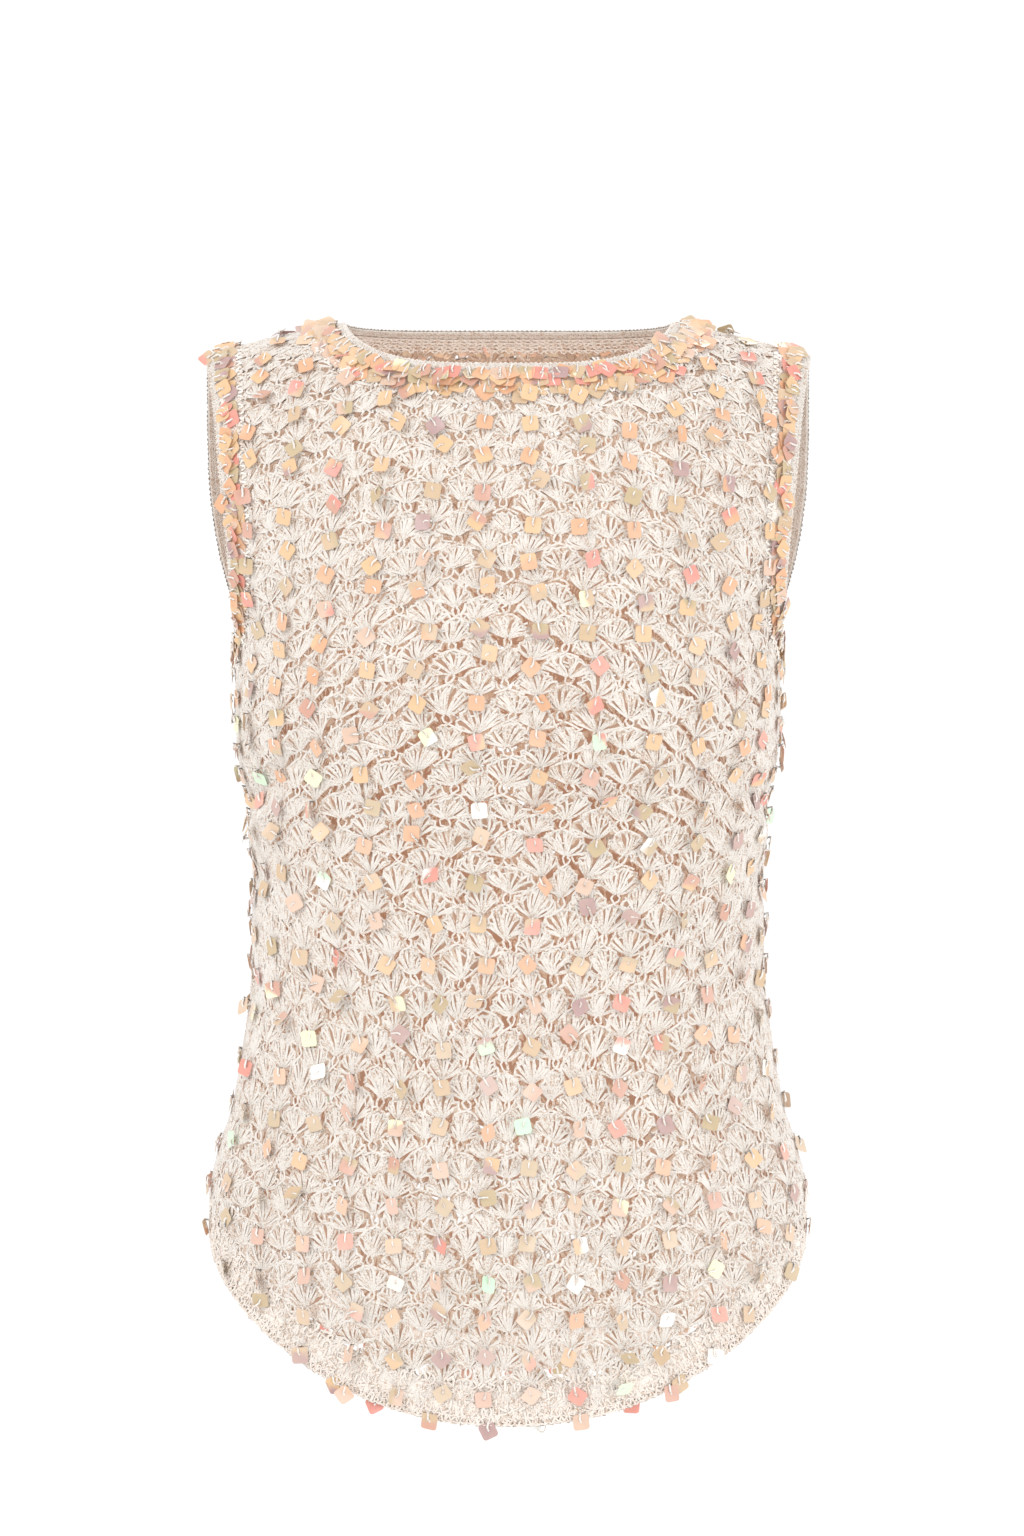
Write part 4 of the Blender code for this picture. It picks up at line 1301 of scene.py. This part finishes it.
def add_sequins(skein, threads, place, out, up, hang, spin, tilt_x, tilt_y, lift, pale=0.0):
    """Hang a sequin from every place: its hole lies a loop's length away, turned by the angle hang
    from the opposite of up, and its plate is spun and tilted."""
    side = unit(np.cross(up, out))
    up = np.cross(out, side)
    way = -np.sin(hang)[:, None] * side - np.cos(hang)[:, None] * up
    across = np.cross(way, out)
    plate_out = unit(out + np.sin(tilt_x)[:, None] * across + np.sin(tilt_y)[:, None] * way)
    first = unit(np.cos(spin)[:, None] * across + np.sin(spin)[:, None] * way)
    first = unit(first - plate_out * np.sum(first * plate_out, axis=1, keepdims=True))
    axes = np.stack([first, np.cross(plate_out, first), plate_out], axis=1)
    hole = place + way * LOOP + out * lift[:, None]
    add_plates(skein, hole[:, None] + PLATE_POINTS @ axes, film_colours(place[:, 2], pale))
    add_loops(threads, place, out, hole, way, across, plate_out)


def add_plates(skein, corners, colours):
    """Faces between each ring of every plate and the next, with the plate's own x and y as UV."""
    rings, around = PLATE.shape[0], PLATE.shape[1] - 1
    index = np.arange(corners.size // 3).reshape(len(corners), rings, around)
    turned = np.roll(index, -1, axis=2)
    quads = [index[:, :-1], index[:, 1:], turned[:, 1:], turned[:, :-1]]
    faces = np.stack([quad.ravel() for quad in quads], axis=1)
    uv = PLATE_POINTS[:, :2] / SEQUIN_HALF
    uvs = np.broadcast_to(uv, (len(corners),) + uv.shape).reshape(-1, 2)[faces]
    skein.add(corners.reshape(-1, 3), faces, uvs, colours.reshape(-1, 4))


def add_loops(threads, place, out, hole, way, across, plate_out):
    """A thread from the hole of every plate, over its edge, to the place that it hangs from."""
    rise = np.array([-0.2, 1.0, 0.9, 0.3])[:, None] * MM
    back = np.array([0.0, 0.30, 1.04, 1.0])[:, None] * LOOP * 1.2
    bow = np.array([0.0, 0.7, 0.5, 0.0])[:, None] * MM
    bow = bow * chance.choice([-1.0, 1.0], (len(place), 1, 1))
    lines = hole[:, None] - way[:, None] * back + plate_out[:, None] * rise + across[:, None] * bow
    lines[:, -1] = place + out * 0.4 * MM
    radius = np.full(lines.shape[:2], THREAD_RADIUS)
    threads.lay(lines, np.broadcast_to(out[:, None], lines.shape), radius, 1.0, ROUND)


def film_colours(height, pale):
    """A colour for every corner of every plate: one film, or two that meet along a line, and
    blended with a pale one by the given share."""
    count = len(height)
    first, second = pick_films(height), pick_films(height)
    direction = chance.uniform(0.0, 2.0 * math.pi, count)[:, None]
    across = PLATE_POINTS[:, 0] * np.cos(direction) + PLATE_POINTS[:, 1] * np.sin(direction)
    edge = np.where(chance.random(count) < TWO_FILMED, chance.uniform(-0.3, 0.5, count), 2.0)
    part = np.clip((across / SEQUIN_HALF - edge[:, None]) * 5.0 + 0.5, 0.0, 1.0)[:, :, None]
    mixed = first[:, None] * (1.0 - part) + second[:, None] * part
    pale = np.broadcast_to(pale, (count,))[:, None, None]
    mixed = mixed * (1.0 - pale) + PALE_FILM * pale
    return np.concatenate([FILM_DEPTH * mixed, np.ones(mixed.shape[:2] + (1,))], axis=2)


print("triangles in a sequin:", 4 * (PLATE.shape[1] - 1))


# %% [markdown]
# ### Sequins of the net
#
# One hangs at the apex of every fan in every second row, which the net's own coordinates find.
# Most hang straight, some have swung round or turned edge on, as loose plates do.

# %% Sequins on the fans
SWUNG_ROUND = 0.2              # share of the loose sequins that have swung round
EDGE_ON_HIGH = 0.12            # share of those at the shoulders that are edge on
EDGE_ON_MORE = 0.24            # and how much larger it is at the hem
EDGE_ON_TILT = 1.4             # in radians


def spins(count, cornered, spread):
    """How plates have turned about their holes: a share of them hang by a corner."""
    turned = np.where(chance.random(count) < cornered, math.pi / 4.0, 0.0)
    return turned + chance.normal(0.0, spread, count)


def swing(calm, low):
    """Angles of loose sequins: hang, spin, and two tilts, which the calm makes smaller.  More of
    those low down are edge on."""
    count = len(calm)
    flipped = chance.random(count) < SWUNG_ROUND
    round_it = chance.normal(2.2, 0.5, count) * chance.choice([-1.0, 1.0], count)
    hang = np.where(flipped, round_it, chance.normal(0.0, 0.30, count))
    spin = spins(count, 0.3, 0.16)
    edge_on = chance.random(count) < EDGE_ON_HIGH + EDGE_ON_MORE * low
    tilt_x = chance.normal(0.0, 0.24, count) + edge_on * chance.choice(EDGE_ON_TILT * PAIR, count)
    return hang, spin, tilt_x * calm, chance.normal(0.10, 0.22, count) * calm


SEQUIN_MARGINS = (0.020, 0.017, 0.002)  # from the neck, the armholes and the hem
FULLY_PALE_DROP = 0.45         # plates get paler down to here, a painted sheen


def net_sequins(face):
    """The loose sequins of one face, and their loops."""
    second_rows = apex_r % 2.0 == 0.0
    k, r = wander(apex_k[second_rows], apex_r[second_rows])
    kept = inside(face, k, r, *SEQUIN_MARGINS) & (np.abs(k) < SEAM_COLUMN) & (r > 0.5)
    k, r = k[kept], r[kept]
    place, out = on_net(face, k, r)
    above, _ = on_net(face, k, r - 0.3)
    plates, loops = Skein(), Skein()
    calm = 1.0 - 0.7 * np.clip(np.abs(k) / 6.0, 0.0, 1.0) ** 4
    hang, spin, tilt_x, tilt_y = swing(calm, lowness(place[:, 2]))
    tipped = np.abs(np.sin(tilt_x)) + np.abs(np.sin(tilt_y))
    lift = chance.uniform(1.0, 1.8, len(k)) * MM + 0.8 * SEQUIN_HALF * tipped
    # Lower plates are blended towards a pale film, as painted sheen.
    pale = chance.uniform(0.0, 0.5, len(k)) * np.clip(-place[:, 2] / FULLY_PALE_DROP, 0.0, 1.0)
    add_sequins(plates, loops, place + out * 0.8 * MM, out, unit(above - place), hang, spin, tilt_x,
                tilt_y, lift, pale)
    print(face, "has", len(k), "loose sequins")
    return (plates.piece(f"{face}_sequins", sequin.material, "sequin"),
            loops.piece(f"{face}_sequin_loops", thread_yarn, "cream_yarn"))


net_pieces = {face: net_sequins(face) for face in cloths}


# %% [markdown]
# ### Sequins of the bands
#
# At the neck and the armholes they are worked close together, so that each lies over the next
# like a shingle and its free edge stands a little off.  Strewn at random they would leave bare
# patches, so each row has an even pitch, and only small differences are random.

# %% Sequins round the edges
BandRow = namedtuple("BandRow", "inset pitch lift_mm")
NECK_ROWS = (
    BandRow(0.0215, 0.0420, 1.7),
    BandRow(0.0165, 0.0086, 1.7),
    BandRow(0.0115, 0.0080, 2.4),
    BandRow(0.0068, 0.0084, 3.1),
)
ARMHOLE_ROWS = (BandRow(0.0108, 0.0084, 1.7), BandRow(0.0066, 0.0080, 2.6))
PALE_FROM_HEIGHT = -0.030      # sequins above this height are paler, up to the shoulder line
SHOULDER_LEAN = 0.9            # how far those on the shoulder line flop to the front or back
FLIPPED = 0.04                 # share of those on the front that point the other way


def band_sequins(name, band, rows, node):
    """Rows of overlapping sequins round an edge, the outermost on top."""
    plates, loops = Skein(), Skein()
    for row in rows:
        count = int(band.length / row.pitch)
        s = (np.arange(count) + chance.normal(0.0, 0.18, count)) / count
        w = row.inset + chance.normal(0.0, 0.6 * MM, count)
        place, out = band.at(s, w)
        nearer, _ = band.at(s, w - 2.0 * MM)
        flipped = (chance.random(count) < FLIPPED) & (place[:, 1] < 0.0)
        hang = chance.normal(0.0, 0.26, count) + np.where(flipped, 2.8, 0.0)
        spin = spins(count, 0.3, 0.22)
        lift = (row.lift_mm + 0.5 * (np.arange(count) % 2) + chance.uniform(-0.2, 0.3, count)) * MM
        high = np.clip(1.0 - place[:, 2] / PALE_FROM_HEIGHT, 0.0, 1.0)
        lean = SHOULDER_LEAN * (high * np.sign(place[:, 1]))[:, None]
        out = unit(out + lean * np.array([0.0, 1.0, 0.0]))
        pale = high * chance.uniform(0.1, 0.8, count)
        add_sequins(plates, loops, place, out, unit(nearer - place), hang, spin,
                    chance.normal(0.0, 0.16, count), chance.normal(-0.04, 0.12, count), lift, pale)
    made = plates.piece(f"{name}_sequins", sequin.material, "sequin")
    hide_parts(node)
    return [made, loops.piece(f"{name}_sequin_loops", thread_yarn, "cream_yarn")]


band_pieces = band_sequins("neck", neck_band, NECK_ROWS, "neck_sequin_trim")
for side, band in armhole_bands.items():
    trim = f"armhole_sequin_trim_{side}"
    band_pieces += band_sequins(f"armhole_{side}", band, ARMHOLE_ROWS, trim)

# %% [markdown]
# ### Sequins of the hem
#
# A last row hangs from the edge of the hem, free of the cloth, some of them from behind it.  The
# hem's band gives their places, but they hang straight down, not square to the edge.

# %% Sequins along the hem
HEM_PITCH = 0.0285
HEM_COUNT = {"front": 8, "back": 9}
LOST_AT = 0.535                # where along the hem the bare loop hangs


def bare_loop(loops, band):
    """A ring of thread under the edge that has lost its sequin: x = a sin t, z = b (cos t - 1)."""
    start, outward = band.at(np.full(1, LOST_AT), np.full(1, 1.0 * MM))
    turn = np.linspace(0.0, 2.0 * math.pi, 10)
    ring = np.stack([2.4 * np.sin(turn), 0.0 * turn, 2.6 * np.cos(turn) - 2.6], axis=1) * MM
    outward = np.broadcast_to(outward[:, None], (1,) + ring.shape)
    loops.lay(start[:, None] + ring, outward, np.full((1, len(turn)), 0.45 * MM), 1.0, ROUND)


def hem_sequins(face):
    """Sequins that hang straight down from the hem's edge, and a loop that has lost its own."""
    band, count = hem_bands[face], HEM_COUNT[face]
    along = (np.arange(count) - (count - 1) / 2.0) * HEM_PITCH + chance.normal(0.0, 2.5 * MM, count)
    place, out = band.at(0.5 + along / band.length, chance.normal(3.0 * MM, 0.8 * MM, count))
    plates, loops = Skein(), Skein()
    up = np.array([0.0, 0.0, 1.0]) * np.ones((count, 1))
    spin = spins(count, 0.25, 0.18)
    lift = np.where(chance.random(count) < 0.35, -1.6 * MM, 1.5 * MM)
    add_sequins(plates, loops, place, out, up, chance.normal(0.0, 0.25, count), spin,
                chance.normal(0.0, 0.25, count), chance.normal(0.0, 0.2, count), lift)
    bare_loop(loops, band)
    return [plates.piece(f"hem_{face}_sequins", sequin.material, "sequin"),
            loops.piece(f"hem_{face}_sequin_loops", thread_yarn, "cream_yarn")]


hem_sequin_pieces = {face: hem_sequins(face) for face in cloths}

# %% [markdown]
# ## The cut of the two panels
#
# Each panel was crocheted flat, to its widest girth and its longest path, and its area is that
# of the net without its edges.  A mesh could be flattened to measure it, but the net already says
# how far across and down each of its places lies.  Here the area of each panel is summed, and the
# stitches, edges and sequins on it are gathered in a list.

def cut_area(face):
    """Flat area inside the panel's margins: the sum of the net's cells, each the determinant of
    across and path by column and row."""
    columns = np.linspace(-SEAM_COLUMN, SEAM_COLUMN, 481)
    k, r = np.meshgrid(columns, np.arange(0.0, fine_rows[-1] + 3.0, 0.05))
    path = net_path(face, k, r)
    across = across_at(face, k, path)
    cells = np.gradient(across, axis=1) * np.gradient(path, axis=0)
    cells -= np.gradient(across, axis=0) * np.gradient(path, axis=1)
    return float(cells[inside(face, k, r, *WEB_MARGINS)].sum())


for face, cloth in cloths.items():
    cut_metres = cut_area(face)
    worked_on = stitch_pieces[face] + [hems[face], *net_pieces[face], *hem_sequin_pieces[face]]
    if face == "front":
        worked_on += edgings + trims + band_pieces

# %% [markdown]
# ## The light and the camera
#
# A pale sweep of paper, a big soft lamp in front and above, a weaker one on the other side and one
# behind. Inside the top, light goes to and fro between the walls and turns warm.

# %% The floor
FLOOR_HEIGHT = -1.15
SWEEP_DEPTH, SWEEP_BEND, SWEEP_HEIGHT, SWEEP_HALF_WIDTH = 4.4, 1.2, 4.5, 8.0
SWEEP_START = -5.0


def make_stage():
    """A floor that curves up into a backdrop: a profile carried sideways."""
    turn = np.linspace(0.0, math.pi / 2.0, 17)
    y = SWEEP_DEPTH - SWEEP_BEND + SWEEP_BEND * np.sin(turn)
    z = FLOOR_HEIGHT + SWEEP_BEND - SWEEP_BEND * np.cos(turn)
    y = np.concatenate([[SWEEP_START], y, [SWEEP_DEPTH]])
    z = np.concatenate([[FLOOR_HEIGHT], z, [SWEEP_HEIGHT]])
    left = np.stack([np.full(len(y), -SWEEP_HALF_WIDTH), y, z], axis=1)
    points = np.concatenate([left, left * np.array([-1.0, 1.0, 1.0])])
    index = np.arange(len(y) - 1)
    faces = np.stack([index, index + 1, index + 1 + len(y), index + len(y)], axis=1)[:, ::-1]
    mesh = bpy.data.meshes.new("backdrop")
    mesh.from_pydata(points.tolist(), [], faces.tolist())
    mesh.shade_smooth()
    paper = Finish("backdrop_paper", {"Roughness": 0.9, "Base Color": rgb(0.93, 0.93, 0.93)})
    mesh.materials.append(paper.material)
    backdrop = bpy.data.objects.new("backdrop", mesh)
    bpy.context.collection.objects.link(backdrop)
    print("faces in the backdrop:", len(faces))


make_stage()

# %% Lamps
CENTRE = (0.0, 0.0, -0.30)
NEAR_FRONT, NEAR_BACK = (0.0, 0.02, -0.30), (0.0, -0.02, -0.30)
WHITE, WARM = (1.0, 1.0, 1.0), (1.0, 0.86, 0.77)
Lamp = namedtuple("Lamp", "name place target width height power colour")
LAMPS = (
    Lamp("key_lamp", (-1.9, -2.1, 1.4), CENTRE, 1.8, 1.8, 38.0, WHITE),
    Lamp("fill_lamp", (2.4, -1.7, 0.1), CENTRE, 2.4, 2.4, 27.0, WHITE),
    Lamp("back_lamp", (0.6, 1.9, 1.6), CENTRE, 1.6, 1.6, 30.0, WHITE),
    Lamp("inside_lamp_back", NEAR_BACK, (0.0, 1.0, -0.30), 0.20, 0.54, 0.22, WARM),
    Lamp("inside_lamp_front", NEAR_FRONT, (0.0, -1.0, -0.30), 0.20, 0.54, 0.22, WARM),
)


def turn_towards(direction):
    """Turn for an object whose -Z axis is to point along a direction."""
    x, y, z = direction / np.linalg.norm(direction)
    return (math.acos(-z), 0.0, math.atan2(-x, y))


def add_lamp(row):
    """A rectangular soft lamp that looks at its target."""
    lamp = bpy.data.lights.new(row.name, "AREA")
    lamp.shape = "RECTANGLE"
    lamp.size, lamp.size_y = row.width, row.height
    lamp.energy, lamp.color = row.power, row.colour
    made = bpy.data.objects.new(row.name, lamp)
    made.location = row.place
    made.rotation_euler = turn_towards(np.array(row.target) - np.array(row.place))
    made.visible_camera = False
    bpy.context.collection.objects.link(made)


for row in LAMPS:
    add_lamp(row)
world = bpy.data.worlds.new("studio")
world.use_nodes = True
world.node_tree.nodes["Background"].inputs["Color"].default_value = rgb(1.0, 1.0, 1.0)
world.node_tree.nodes["Background"].inputs["Strength"].default_value = 0.98
bpy.context.scene.world = world
bpy.context.scene.view_settings.view_transform = "Standard"
print("lamps:", len(LAMPS))

# %% Camera
CAMERA_PLACE = (0.0024, -2.5, -0.266)
VIEW_HEIGHT = 0.9216           # height of the view in the plane of the centre, in metres
camera = bpy.data.cameras.new("camera")
camera.sensor_fit = "VERTICAL"
camera.sensor_height = 36.0
camera.lens = camera.sensor_height * -CAMERA_PLACE[1] / VIEW_HEIGHT
view = bpy.data.objects.new("camera", camera)
view.location = CAMERA_PLACE
view.rotation_euler = (math.pi / 2.0, 0.0, 0.0)
bpy.context.collection.objects.link(view)
bpy.context.scene.camera = view
print("camera lens (mm):", round(camera.lens, 1))
